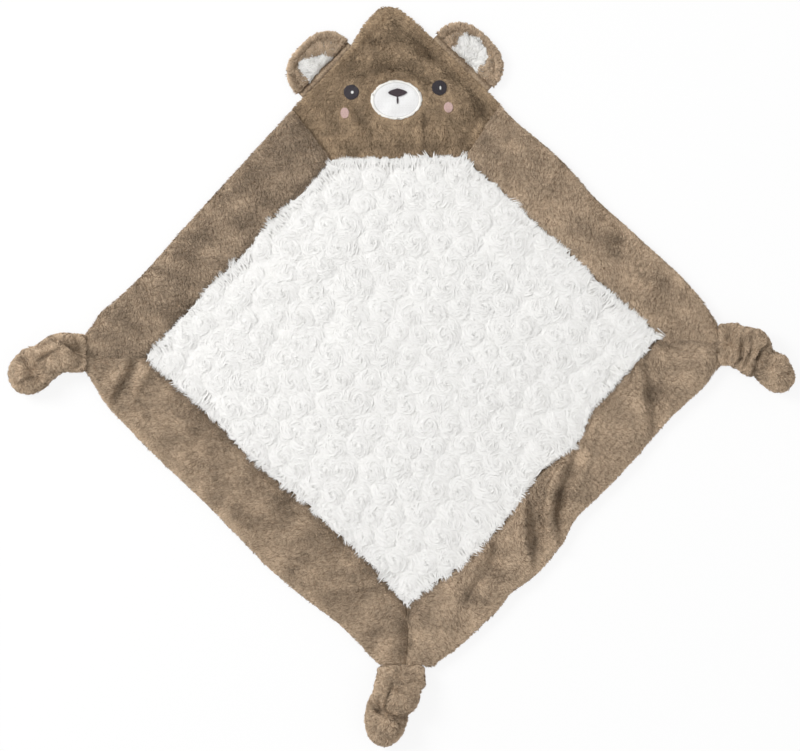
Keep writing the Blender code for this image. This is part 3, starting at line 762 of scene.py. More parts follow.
# The same velour as the strips, painted darker and warmer on the face as painted shade of its nap, which lies the
# other way to the lamp.
NAP_SHADED_FACE_VELOUR = VelourFinish("face_velour", "#6E5B46", "#BAA285", "brown_plush", tones=(0.60, 1.28))
BACK_VELOUR = VelourFinish("back_velour", "#6A5847", "#B5A087", "back_plush")
ROSETTE_PLUSH = VelourFinish("rosette_plush", "#E9E8E5", "#F0EFED", "rosette_plush", 0.9, 0.1, (0.965, 1.015))
EAR_PLUSH = VelourFinish("ear_plush", "#E6E4DE", "#FCFBF9", "ear_plush", 0.9, 0.1, (0.88, 1.02))
WADDING = VelourFinish("polyester_wadding", "#D2D2CE", "#EDEDEA", "wadding", 0.95, 0.1)
MUZZLE_THREAD = StitchFinish(
    "muzzle_thread", "#F4F4F4", "#DDDCDB", "muzzle_thread", turn=math.pi / 2, bump=0.4,
    ring=tuple(part * MM for part in MUZZLE_MIDDLE + MUZZLE_HALF),
)
NOSE_THREAD = StitchFinish("nose_thread", "#4C3D44", "#2B2126", "nose_thread", turn=math.pi / 2)
EYE_THREAD = StitchFinish("eye_thread", "#30262F", "#151015", "eye_thread", turn=math.pi / 4)
HIGHLIGHT_THREAD = StitchFinish("highlight_thread", "#F4F4F2", "#C9C7C4", "highlight_thread")
CHEEK_THREAD = StitchFinish("cheek_thread", "#E0C0BA", "#BC9B93", "cheek_thread", turn=math.pi / 2)


# ---------------------------------------------------------------- pile


@dataclass(frozen=True)
class Roots:
    """Where tufts grow out of a cloth: places, and the cloth's normals there."""

    places: Array
    normals: Array

    @property
    def plan(self) -> Array:
        """The places' X and Y."""
        return self.places[:, :2]

    def where(self, keep: Array) -> Roots:
        """The roots that are kept."""
        return Roots(self.places[keep], self.normals[keep])


@dataclass(frozen=True)
class Surface:
    """The skin of a finished cloth, for pile to grow on."""

    corners: Array
    normals: Array
    areas: Array

    @classmethod
    def of(cls, piece: Piece) -> Surface:
        """Reads a piece's triangles with their corners' normals.

        Args:
            piece: the cloth.

        Returns:
            Its skin.
        """
        mesh = piece.data
        mesh.calc_loop_triangles()
        index = np.empty(len(mesh.loop_triangles) * 3, dtype=np.int32)
        mesh.loop_triangles.foreach_get("vertices", index)
        index = index.reshape(-1, 3)
        normals = np.empty(len(mesh.vertices) * 3)
        mesh.vertex_normals.foreach_get("vector", normals)
        points = mesh_points(mesh)[index]
        cross = np.cross(points[:, 1] - points[:, 0], points[:, 2] - points[:, 0])
        return cls(points, normals.reshape(-1, 3)[index], np.linalg.norm(cross, axis=1) / 2)

    def where(self, keep: Array) -> Surface:
        """The part of the skin whose triangles are kept."""
        return Surface(self.corners[keep], self.normals[keep], self.areas[keep])

    def top(self) -> Surface:
        """The part of the skin that faces up or sideways, clear of the table."""
        return self.where((self.normals[:, :, 2].mean(1) > -0.25) & (self.corners[:, :, 2].min(1) > 2.6 * MM))

    def scatter(self, rng: np.random.Generator, per_mm2: float) -> Roots:
        """Even random places on the skin.

        Args:
            rng: the seeded source of chance.
            per_mm2: how many places on a square millimetre.

        Returns:
            The places and their normals.
        """
        count = int(self.areas.sum() / MM**2 * per_mm2)
        pick = rng.choice(len(self.areas), size=count, p=self.areas / self.areas.sum())
        a, b = rng.random(count), rng.random(count)
        flip = a + b > 1
        a[flip], b[flip] = 1 - a[flip], 1 - b[flip]
        weights = np.stack((1 - a - b, a, b), axis=1)[:, :, None]
        return Roots((self.corners[pick] * weights).sum(1), unit((self.normals[pick] * weights).sum(1)))


def lying_across(spines: Array, roll: Array) -> Array:
    """The ways of the widths of tufts that lie down.

    Args:
        spines: for each tuft, its points from root to tip.
        roll: how far each is rolled about its own way, in degrees.

    Returns:
        One way for each tuft.
    """
    ahead = unit(spines[:, -1] - spines[:, 0])
    beside = unit(np.cross(np.tile(UP, (len(spines), 1)), ahead))
    roll = np.radians(roll)[:, None]
    return beside * np.cos(roll) + np.cross(ahead, beside) * np.sin(roll)


def tufts(
    name: str,
    spines: Array,
    across: Array,
    half_width: Array,
    tone: Array,
    material: Material,
) -> Piece:
    """Makes one piece of many pointed tufts. One tuft is cut from a grid, an Array modifier repeats
    it, and each copy is laid along its own spine.

    Args:
        name: the piece's name.
        spines: for each tuft, its points from root to tip.
        across: for each tuft, the way of its width.
        half_width: for each tuft, half its width at the root.
        tone: for each tuft, from 0 dark to 1 light.
        material: the pile's finish.

    Returns:
        The piece.
    """
    count, rows = spines.shape[:2]
    bm = bmesh.new()
    bmesh.ops.create_grid(bm, x_segments=1, y_segments=rows - 1, size=0.5, calc_uvs=False)
    tips = [v for v in bm.verts if v.co.y > 0.5 - 1e-4]
    bmesh.ops.pointmerge(bm, verts=tips, merge_co=(0.0, 0.5, 0.0))
    bm.loops.layers.uv.new(PILE_MAP)
    mesh = finished(bm, name)
    blade = mesh_points(mesh)
    row = np.rint((blade[:, 1] + 0.5) * (rows - 1)).astype(int)
    side = blade[:, 0] * 2
    corner = np.empty(len(mesh.loops), dtype=np.int32)
    mesh.loops.foreach_get("vertex_index", corner)
    piece = new_object(name, mesh, material)
    copies = piece.modifiers.new("copies", "ARRAY")
    copies.use_relative_offset = False
    copies.count = count
    baked(piece)
    taper = 1 - (row / (rows - 1)) ** 2
    wide = across[:, None, :] * (half_width[:, None] * side * taper)[:, :, None]
    put_points(piece.data, (spines[:, row] + wide).reshape(-1, 3))
    layer = piece.data.uv_layers[PILE_MAP]
    along = (row / (rows - 1))[corner]
    pairs = np.empty((count, len(corner), 2), dtype=np.float32)
    pairs[:, :, 0] = np.clip(tone, 0.02, 0.98)[:, None]
    pairs[:, :, 1] = 0.02 + 0.96 * along
    layer.data.foreach_set("uv", pairs.ravel())
    piece.data.shade_smooth()
    return piece


@dataclass(frozen=True)
class Locks:
    """How tufts cling together: each lock is a patch of tufts whose tips draw to one point, so that
    the pile parts between locks and shows its roots, which are painted dark as painted shade."""

    size: float = 1.15 * MM
    draw: float = 0.36
    own_tone: float = 0.085
    stretch: float = 3.2

    def found(self, grain: Array, height: Array, rng: np.random.Generator) -> Array:
        """The number of each tuft's lock, on an unevenly warped net of cells that are longer along
        the nap.

        Args:
            grain: how far along and across the nap each root lies.
            height: each root's height.
            rng: the seeded source of chance.

        Returns:
            One number for each root.
        """
        warp = [0.9 * self.size * Ripple(4.4 * self.size, int(rng.integers(999))).at(grain) for _ in range(2)]
        sizes = self.size * np.array((self.stretch, 1.0, 2.5))
        cells = np.floor(np.column_stack((grain + np.stack(warp, axis=1), height)) / sizes)
        return np.unique(cells.astype(np.int64) @ (1, 4001, 16008001), return_inverse=True)[1].ravel()


def fanned(p: Array, middle: Array, reach: float) -> Array:
    """How far along and across a nap that fans out from a middle each place lies."""
    off = p - middle
    return np.stack((np.linalg.norm(off, axis=1), np.arctan2(off[:, 1], off[:, 0]) * reach), axis=1)


def swirled(way: tuple[float, float], turn: Array) -> Array:
    """One way of the nap, turned by each root's own angle."""
    x, y = np.array(way) / math.hypot(*way)
    return np.stack((x * np.cos(turn) - y * np.sin(turn), x * np.sin(turn) + y * np.cos(turn), 0 * turn), axis=1)


def partings(p: Array, size: float, seed: int) -> Array:
    """Where pile parts in short cracks that come in patches, which are darkened as painted shade.

    Args:
        p: places, X and Y.
        size: about twice the way from one crack to the next.
        seed: which pattern.

    Returns:
        Values from 0 to 1 on a crack.
    """
    crack = bell(Ripple(size, seed).at(p) / 0.24)
    return crack * smooth(0.25 + 0.9 * Ripple(5 * size, seed + 1).at(p))


@dataclass(frozen=True)
class Pile:
    """A short pile: tufts that start steep, lie over along the nap and cling together in locks."""

    length: float = 2.6 * MM
    width: float = 0.48 * MM
    per_mm2: float = 4.6
    lean: tuple[float, float] = (42.0, 82.0)
    spread: float = 15.0
    rows: int = 3
    locks: Locks = Locks()

    def grow(
        self,
        name: str,
        roots: Roots,
        nap: Array,
        tone: Array,
        material: Material,
        seed: int,
        share: Array | float = 1.0,
        grain: Array | None = None,
    ) -> Piece:
        """Grows the pile out of its roots.

        Args:
            name: the piece's name.
            roots: places on the cloth and its normals there.
            nap: the way that the pile lies at each root.
            tone: each tuft's tone, about 0.5, with the painted light and shade of its cloth. Dark pile also stands up
                more.
            material: the pile's finish.
            seed: starts the source of chance.
            share: how long each tuft is beside the usual length.
            grain: how far along and across the nap each root lies, or None where it lies one way.

        Returns:
            The pile as one piece.
        """
        rng = np.random.default_rng(seed)
        places, normals = roots.places, roots.normals
        count = len(places)
        if grain is None:
            along = unit(nap.mean(0)[:2])
            grain = np.stack((places[:, :2] @ along, places[:, :2] @ (-along[1], along[0])), axis=1)
        lock = self.locks.found(grain, places[:, 2], rng)
        many = np.bincount(lock)
        own = rng.normal(0, 1, (3, len(many)))[:, lock]
        flat = unit(nap - normals * (nap * normals).sum(1, keepdims=True))
        beside = np.cross(normals, flat)
        turn = np.radians(rng.normal(0, self.spread, count) + 13 * own[0])[:, None]
        flat, beside = flat * np.cos(turn) + beside * np.sin(turn), beside * np.cos(turn) - flat * np.sin(turn)
        length = self.length * rng.uniform(0.75, 1.12, count) * (1 + 0.10 * own[1]) * share
        start = np.radians(self.lean[0] + rng.normal(0, 6, count) + 5 * own[2] + 22 * (np.clip(tone, 0, 1) - 0.5))
        bend = np.radians(self.lean[1] - self.lean[0])
        spines = np.empty((count, self.rows, 3))
        for k in range(self.rows):
            s = k / (self.rows - 1)
            out = (np.sin(start + bend * s) - np.sin(start)) / bend * length
            over = (np.cos(start) - np.cos(start + bend * s)) / bend * length
            spines[:, k] = places + normals * (out[:, None] - 0.15 * MM) + flat * over[:, None]
            middle = np.stack([np.bincount(lock, spines[:, k, axis]) for axis in range(3)], axis=1) / many[:, None]
            spines[:, k] += (middle[lock] - spines[:, k]) * self.locks.draw * s**1.5
        roll = np.radians(rng.normal(0, 20, count))[:, None]
        across = beside * np.cos(roll) + normals * np.sin(roll)
        half = self.width / 2 * rng.uniform(0.7, 1.3, count)
        shade = tone + rng.normal(0, 0.06, count) + self.locks.own_tone * own[2]
        return tufts(name, spines, across, half, shade, material)


# ---------------------------------------------------------------- cloths


def square_net(size: tuple[float, float], step: float, angle: float, middle: float = 0.0) -> Net:
    """A flat net of even quads.

    Args:
        size: how far it reaches outwards and along.
        step: the side of a quad.
        angle: the way outwards, in degrees.
        middle: how far out its middle lies.

    Returns:
        The net.
    """
    wide, tall = size
    bm = bmesh.new()
    across, along = round(wide / step), round(tall / step)
    bmesh.ops.create_grid(bm, x_segments=across, y_segments=along, size=1.0, calc_uvs=False)
    bmesh.ops.scale(bm, vec=(wide / 2, tall / 2, 1.0), verts=bm.verts)
    bmesh.ops.translate(bm, vec=(middle, 0.0, 0.0), verts=bm.verts)
    bmesh.ops.rotate(bm, matrix=Matrix.Rotation(math.radians(angle), 3, "Z"), verts=bm.verts)
    return bm


def trim(bm: Net, point: Array | tuple, inward: Array | tuple) -> None:
    """Cuts the net along a line and drops what lies outside it.

    Args:
        bm: the net.
        point: a place on the line.
        inward: the way to the side that stays.
    """
    bmesh.ops.bisect_plane(
        bm,
        geom=bm.verts[:] + bm.edges[:] + bm.faces[:],
        dist=0.01 * MM,
        plane_co=(*point, 0.0),
        plane_no=(-inward[0], -inward[1], 0.0),
        clear_outer=True,
    )


def layer(name: str, bm: Net, low: Height, high: Height, material: Material,
          plan: Plan | None = None) -> Piece:
    """Makes a flat net a closed cloth between two heights.

    Args:
        name: the piece's name.
        bm: the flat net, which is used up.
        low: the underside's height at each place.
        high: the top's height at each place.
        material: the cloth's finish.
        plan: the plan that lays the cloth down, or None.

    Returns:
        The cloth as one piece.
    """
    for part in bmesh.ops.extrude_face_region(bm, geom=bm.faces[:], use_keep_orig=True)["geom"]:
        if isinstance(part, bmesh.types.BMVert):
            part.co.z = 1.0
    mesh = finished(bm, name)
    points = mesh_points(mesh)
    top = points[:, 2] > 0.5
    points[~top, 2] = low(points[~top, :2])
    points[top, 2] = high(points[top, :2])
    put_points(mesh, plan.laid(points) if plan else points)
    bm = bmesh.new()
    bm.from_mesh(mesh)
    bmesh.ops.remove_doubles(bm, verts=bm.verts, dist=JOIN)
    bmesh.ops.recalc_face_normals(bm, faces=bm.faces)
    # The extrusion's own order of faces changes from run to run, and the pile is scattered by it.
    bm.verts.index_update()
    bm.faces.sort(key=lambda face: sum(math.sqrt(v.index + 2) for v in face.verts))
    bm.to_mesh(mesh)
    bm.free()
    mesh.shade_smooth()
    return new_object(name, mesh, material)


@dataclass
class BackPanel:
    """The plain velour back of the blanket."""

    relief: Relief
    step: float = 2.6 * MM
    pile: Pile = Pile(length=2.6 * MM, width=0.95 * MM, per_mm2=0.6, lean=(60.0, 86.0), locks=Locks(3.4 * MM, 0.3))

    def build(self) -> list[Piece]:
        """Cuts the square, dresses it and grows its pile on its underside.

        Returns:
            The cloth and its pile.
        """
        plan = self.relief.plan
        bm = square_net((2 * plan.half_side,) * 2, self.step, 45)
        for corner in Corner:
            trim(bm, corner.out * plan.neck_distance, -corner.out)
        plan.round_tip(bm, (67.5, 90.0, 112.5))
        cloth = layer("back_cloth", bm, self.relief.back_low, self.relief.back_top, BACK_VELOUR.cloth(), plan)
        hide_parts("back_panel")
        skin = Surface.of(cloth)
        skin = skin.where(skin.normals[:, :, 2].mean(1) < 0.2)
        roots = skin.scatter(np.random.default_rng(21), self.pile.per_mm2)
        roots = roots.where(roots.places[:, 2] > 0.4 * MM)
        nap = np.tile((0.15, -1.0, 0.0), (len(roots.places), 1))
        tone = 0.5 + 0.25 * Ripple(20 * MM, 22).at(roots.plan)
        fur = self.pile.grow("back_pile", roots, nap, tone, BACK_VELOUR.pile(), 23)
        return [cloth, fur]


@dataclass
class BorderStrip:
    """One brown strip along a side, from the face or a mitre seam to a knot's neck."""

    side: Side
    relief: Relief
    nap: tuple[float, float]
    # shade: a painted light or shade for the whole strip, as its nap faces towards or away from the lamp.
    shade: float
    step: float = 1.25 * MM
    half_gap: float = 0.15 * MM
    crease_shade: float = 30.0
    pile: Pile = Pile()

    @property
    def name(self) -> str:
        """The CAD node that the strip stands for."""
        return f"border_{self.side.name.lower()}"

    def net(self) -> Net:
        """The strip's flat net, trimmed at its ends."""
        plan = self.relief.plan
        middle = plan.half_side - plan.border_width / 2
        bm = square_net((plan.border_width - 0.3 * MM, 2 * plan.half_side), self.step, self.side.value, middle)
        across = 1.0 if self.side.out[0] > 0 else -1.0
        neck = ((across * plan.neck_distance, 0.0), (-across, 0.0))
        if self.side.out[1] > 0:
            seam = (across * (plan.seam_half_width + 0.2 * MM), plan.seam_height)
            face = (seam, (across * plan.side_run[1], -plan.side_run[0]))
            cuts = (face, ((0.0, self.half_gap), (0.0, 1.0)), neck)
        else:
            mitres = (((0.0, -self.half_gap), (0.0, -1.0)), ((across * self.half_gap, 0.0), (across, 0.0)))
            cuts = (*mitres, neck, ((0.0, -plan.neck_distance), (0.0, 1.0)))
        for point, inward in cuts:
            trim(bm, point, inward)
        return bm

    def build(self) -> list[Piece]:
        """Lays the strip, and grows its pile on its top and its outer edge.

        Returns:
            The cloth and its pile.
        """
        plan, relief = self.relief.plan, self.relief
        bm = self.net()
        area = sum(face.calc_area() for face in bm.faces)
        cloth = layer(f"{self.name}_cloth", bm, relief.front_low, relief.border_high, BROWN_VELOUR.cloth(), plan)
        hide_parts(self.name)
        seed = self.side.value
        roots = Surface.of(cloth).top().scatter(np.random.default_rng(seed), self.pile.per_mm2)
        p = roots.plan
        nap = swirled(self.nap, np.radians(34 * Ripple(30 * MM, seed + 1).at(p)))
        outer = 1 - smooth(plan.edge_depth(p) / (8 * MM))
        seam = 1 - smooth(plan.inner_depth(p) / (6.0 * MM))
        nap[:, :2] += self.side.out * outer[:, None] * 0.8
        # Painted light and shade in the tone: a painted sheen along the outer edge, painted shade beside the inner
        # seam under the taller white pile, in the partings and in the creases, with painted light on the creases'
        # ridges. Besides that, random patches, darker towards the head, and a dark line along the mitre seams.
        tone = self.shade + 0.14 * Ripple(30 * MM, seed + 2).at(p)
        tone += (
            0.15 * Ripple(17 * MM, seed + 3).at(p * (0.7, 1.3)) + 0.25 * outer - 0.32 * seam
            - 0.30 * partings(p, 5.6 * MM, seed + 5) * (1 - outer)
        )
        tone -= self.crease_shade * sunk(BORDER_CREASES, p)
        tone -= 0.15 * smooth((p[:, 1] - 80 * MM) / (60 * MM))
        mitre = np.minimum(np.abs(p[:, 0]), np.where(p[:, 1] < 40 * MM, np.abs(p[:, 1]), 1.0))
        tone -= 0.42 * bell(mitre / (1.3 * MM)) * (0.7 + 0.6 * Ripple(5 * MM, seed + 6).at(p))
        short = 1 - 0.25 * outer * (np.linalg.norm(p, axis=1) < 0.185) - 0.35 * seam
        fur = self.pile.grow(f"{self.name}_pile", roots, nap, tone, BROWN_VELOUR.pile(), seed + 4, short)
        return [cloth, fur]


@dataclass(frozen=True)
class Rosettes:
    """The curls of the white plush: each is a whorl of long pile about 17 mm across, whose spiral
    steps throw the thin grey shadow lines that the photo shows."""

    plan: Plan
    pitch: float = 16.5 * MM
    radius: float = 9.6 * MM
    arms: int = 3
    top: float = 0.0066
    dome: float = 0.0010
    step: float = 0.0004
    run: float = 0.005

    def centres(self) -> Array:
        """A jittered honeycomb of whorls: their X, Y, turn and size share."""
        rng = np.random.default_rng(5)
        rows = []
        reach = self.plan.half_diagonal
        count = int(2 * reach / (self.pitch * 0.87)) + 1
        for j in range(count):
            for i in range(count + 2):
                x = -reach + self.pitch * (i + 0.5 * (j % 2)) + rng.normal(0, 2.4 * MM)
                y = -reach + self.pitch * 0.87 * j + rng.normal(0, 2.4 * MM)
                rows.append((x, y, rng.uniform(0, math.tau), rng.uniform(0.78, 1.22)))
        found = np.array(rows)
        return found[self.inside(found[:, :2]) > 2.5 * MM]

    def inside(self, p: Array) -> Array:
        """How far inside the white panel each place lies."""
        return np.minimum(-self.plan.inner_depth(p), self.plan.seam_height - p[:, 1])

    def wave(self, p: Array) -> Array:
        """The cloth's slow rise and fall."""
        return 0.5 * MM * Ripple(60 * MM, 6).at(p)

    def whorl(self, r: Array, phi: Array, size: Array, p: Array) -> Array:
        """The height of one whorl above the base.

        Args:
            r: how far each place is from the whorl's middle.
            phi: its angle round the middle.
            size: the whorl's own size share.
            p: the place itself, by which the steps come and go.

        Returns:
            The heights.
        """
        share = np.clip(r / (self.radius * size), 0.0, 1.3)
        uneven = np.clip(0.72 + 0.7 * Ripple(11 * MM, 7).at(p), 0.3, 1.35)
        saw = np.mod(self.arms * phi / math.tau + r / (4.6 * MM), 1.0)
        ridge = np.where(saw < 0.82, saw / 0.82, (1 - saw) / 0.18)
        body = self.dome * (1 - share**2)
        return body + self.step * ridge * uneven * smooth(r / (1.6 * MM)) * (1.15 - 0.5 * share)

    def high(self, p: Array) -> Array:
        """The top of the white cloth: the whorls' relief, which fades out at the seams.

        Args:
            p: places, X and Y.

        Returns:
            The heights.
        """
        found = self.centres()
        best = np.full(len(p), 1e9)
        owner = np.zeros(len(p), dtype=int)
        for k, (x, y, _, size) in enumerate(found):
            near = np.hypot(p[:, 0] - x, p[:, 1] - y) / size
            closer = near < best
            best[closer], owner[closer] = near[closer], k
        x, y, turn, size = found[owner].T
        r = np.hypot(p[:, 0] - x, p[:, 1] - y)
        phi = np.arctan2(p[:, 1] - y, p[:, 0] - x) + turn
        crown = rise(self.inside(p) / self.run)
        return self.top + (self.wave(p) + self.whorl(r, phi, size, p)) * crown

    def spines(self, rng: np.random.Generator) -> tuple[Array, ...]:
        """Lays long tufts round the whorls.

        Args:
            rng: the seeded source of chance.

        Returns:
            The spines, their widths' ways, half widths and tones.
        """
        found = self.centres()
        each, rows = 300, 4
        owner = np.repeat(np.arange(len(found)), each)
        x, y, turn, size = found[owner].T
        count = len(owner)
        reach = self.radius * size
        r0 = reach * np.sqrt(rng.uniform(0.012, 1.15, count))
        phi0 = rng.uniform(0, math.tau, count)
        root = np.stack((x + r0 * np.cos(phi0), y + r0 * np.sin(phi0)), axis=1)
        keep = self.inside(root) > 0.6 * MM
        x, y, turn, size, r0, phi0 = (part[keep] for part in (x, y, turn, size, r0, phi0))
        count = len(x)
        length = rng.uniform(5.0, 8.0, count) * MM * (0.55 + 0.45 * np.clip(r0 / (6 * MM), 0, 1))
        stray = rng.random(count) < 0.28
        swirl = 42 * Ripple(12 * MM, 15).at(root[keep])
        inward = np.radians(np.where(stray, rng.uniform(-80, 80, count), rng.normal(14, 18, count) + swirl))
        lift = rng.uniform(0.2, 0.75, count) * MM
        spines = np.empty((count, rows, 3))
        for k in range(rows):
            s = k / (rows - 1)
            r = np.maximum(r0 - length * s * np.sin(inward), 0.5 * MM)
            phi = phi0 + length * s * np.cos(inward) / np.maximum(r, 2.0 * MM)
            spines[:, k, 0] = x + r * np.cos(phi)
            spines[:, k, 1] = y + r * np.sin(phi)
            p = spines[:, k, :2]
            crown = rise((self.inside(p) + 1.0 * MM) / self.run)
            ground = self.top + (self.whorl(r, phi + turn, size, p) + self.wave(p)) * crown
            spines[:, k, 2] = ground - 0.2 * MM + lift * math.sin(math.pi * (0.08 + 0.80 * s))
            spines[:, k] = self.plan.laid(spines[:, k])
        across = lying_across(spines, rng.normal(4, 9, count))
        half = rng.uniform(0.35, 0.8, count) * MM
        tone = 0.6 + 0.2 * Ripple(22 * MM, 9).at(spines[:, 0, :2]) + rng.normal(0, 0.2, count)
        return spines, across, half, tone


@dataclass
class CenterPanel:
    """The curly white panel, with the ragged tufts that lie over the brown seams."""

    relief: Relief
    net_step: float = 1.15 * MM
    clump_step: float = 1.7 * MM

    def fringe(self, rosettes: Rosettes, rng: np.random.Generator) -> tuple[Array, ...]:
        """Pointed clumps of tufts that lean out over the seams.

        Args:
            rosettes: the whorls, for the heights that the clumps start from.
            rng: the seeded source of chance.

        Returns:
            The spines, their widths' ways, half widths and tones.
        """
        plan = self.relief.plan
        c, h, rim = plan.center_half_side * math.sqrt(2), plan.seam_height, []
        ring = [(-(c - h), h), (c - h, h), (c, 0.0), (0.0, -c), (-c, 0.0)]
        for a, b in zip(ring, ring[1:] + ring[:1]):
            a, b = np.array(a), np.array(b)
            span = np.linalg.norm(b - a)
            along = (b - a) / span
            out = np.array((along[1], -along[0])) * (-1 if (a + b) @ np.array((along[1], -along[0])) < 0 else 1)
            for place in np.arange(2.5 * MM, span - 2.5 * MM, self.clump_step):
                place += rng.normal(0, 0.8 * MM)
                rim.append((*(a + along * place), *along, *out))
        rim = np.array(rim)
        each, rows = 11, 4
        clump = np.repeat(np.arange(len(rim)), each)
        at, along, out = rim[clump, :2], rim[clump, 2:4], rim[clump, 4:6]
        count = len(clump)
        swell = 1.5 * MM * Ripple(9 * MM, 12).at(rim[:, :2]) + 0.6 * MM * Ripple(40 * MM, 13).at(rim[:, :2])
        far = (swell + np.clip(0.4 + rng.gamma(2.0, 0.38, len(rim)), 0.4, 2.7) * MM)[clump]
        lean = rng.normal(0, 2.6, len(rim))[clump] * MM
        depth = np.clip(0.6 + rng.gamma(2.2, 1.5, count), 0.6, 10.0) * MM
        beside = rng.normal(0, 1.9, count) * MM
        start = at - out * depth[:, None] + along * beside[:, None]
        reach = far + rng.normal(0, 0.55, count) * MM
        end = at + out * reach[:, None] + along * (lean + beside * 0.7 + rng.normal(0, 0.5, count) * MM)[:, None]
        spines = np.empty((count, rows, 3))
        lift = rng.uniform(0.1, 0.6, count) * MM
        for k in range(rows):
            s = k / (rows - 1)
            spines[:, k, :2] = start * (1 - s) + end * s
            p = spines[:, k, :2]
            inside = rosettes.inside(p)
            white = rosettes.top + (0.50 * MM if k else 0.25 * MM) + rosettes.wave(p)
            brown = self.relief.border_high(p) + 1.1 * MM
            ground = np.where(inside > 0, white, np.maximum(brown, white - 0.5 * MM))
            spines[:, k, 2] = ground + lift * math.sin(math.pi * (0.1 + 0.75 * s))
            spines[:, k] = plan.laid(spines[:, k])
        across = lying_across(spines, rng.normal(0, 11, count))
        return spines, across, rng.uniform(0.25, 0.52, count) * MM, 0.68 + rng.normal(0, 0.2, count)

    def build(self) -> list[Piece]:
        """Lays the panel and its three kinds of pile.

        Returns:
            The cloth and its pile.
        """
        plan, relief = self.relief.plan, self.relief
        rosettes = Rosettes(plan)
        bm = square_net((2 * plan.center_half_side - 0.3 * MM,) * 2, self.net_step, 45)
        trim(bm, (0.0, plan.seam_height - 0.15 * MM), (0.0, -1.0))
        area = sum(face.calc_area() for face in bm.faces)
        cloth = layer("center_cloth", bm, relief.front_low, rosettes.high, ROSETTE_PLUSH.cloth(), plan)
        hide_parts("center_panel")
        rng = np.random.default_rng(11)
        pile = ROSETTE_PLUSH.pile()
        spines, across, half, tone = rosettes.spines(rng)
        made = [cloth]
        upper = spines[:, 0, 1] > 0.0
        for part, keep in (("upper", upper), ("lower", ~upper)):
            made.append(tufts(f"rosette_pile_{part}", spines[keep], across[keep], half[keep], tone[keep], pile))
        made.append(tufts("rosette_fringe", *self.fringe(rosettes, rng), pile))
        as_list(made[1:])
        return made


# ---------------------------------------------------------------- the face


@dataclass(frozen=True)
class Patch:
    """One embroidered shape: the node it stands for, its middle, half sizes and heights in mm, and
    its threads."""

    node: str
    middle: tuple[float, float]
    half: tuple[float, float]
    proud: float
    finish: StitchFinish
    rim: float = 0.0
    pointed: float = 0.0
    sides: int = 72
    under: float = 0.0
    insets: tuple[float, ...] = (0.03, 0.03, 0.03, 0.04, 0.05, 0.07, 0.1, 0.12, 0.14, 0.14)

    def off(self, p: Array, spare: float = 0.0) -> Array:
        """How far out of the shape's oval each place lies, as a share that is 1 on its edge."""
        return np.linalg.norm((p - np.array(self.middle) * MM) / (np.array(self.half) * MM + spare), axis=1)

    def outline(self, turn: Array) -> Array:
        """The shape's reach at each angle, as a share: an oval, pinched towards two points, with
        the small uneven steps that stitches leave."""
        rng = np.random.default_rng(len(self.node))
        rough = 1 + 0.018 * rng.normal(0, 1, len(turn))
        pinch = 1 - self.pointed * np.abs(np.sin(turn)) ** 1.2 * np.abs(np.cos(turn)) ** 0.8
        return rough * pinch

    def build(self, ground: Height) -> Piece:
        """Stitches the shape onto its ground.

        Args:
            ground: the height of what carries the shape.

        Returns:
            The piece.
        """
        bm = bmesh.new()
        bmesh.ops.create_circle(bm, cap_ends=True, cap_tris=False, segments=self.sides, radius=1.0)
        for inset in self.insets:
            middle = [max(bm.faces, key=lambda f: f.calc_area())]
            bmesh.ops.inset_region(bm, faces=middle, thickness=inset, use_even_offset=True, use_boundary=True)
        bmesh.ops.poke(bm, faces=[max(bm.faces, key=lambda f: f.calc_area())])
        flat = np.array([v.co[:2] for v in bm.verts])
        stretch = 1 + (self.outline(np.arctan2(flat[:, 1], flat[:, 0])) - 1) * np.linalg.norm(flat, axis=1)
        places = flat * stretch[:, None] * (np.array(self.half) * MM) + np.array(self.middle) * MM
        for v, place in zip(bm.verts, places):
            v.co.xy = place

        def low(p: Array) -> Array:
            """The shape's underside, a little inside its ground."""
            return ground(p) + self.under * MM - 0.25 * MM

        def high(p: Array) -> Array:
            """The shape's top, with the cord of stitches at its edge."""
            share = self.off(p)
            crown = rise((1.04 - share) / 0.24)
            cord = bell((share - 0.945) / 0.05) - 0.5 * bell((share - 0.88) / 0.025)
            return ground(p) + self.under * MM + self.proud * MM * (0.25 + 0.75 * crown) + self.rim * MM * cord

        piece = layer(f"{self.node}_stitches", bm, low, high, self.finish.material())
        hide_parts(self.node)
        return piece


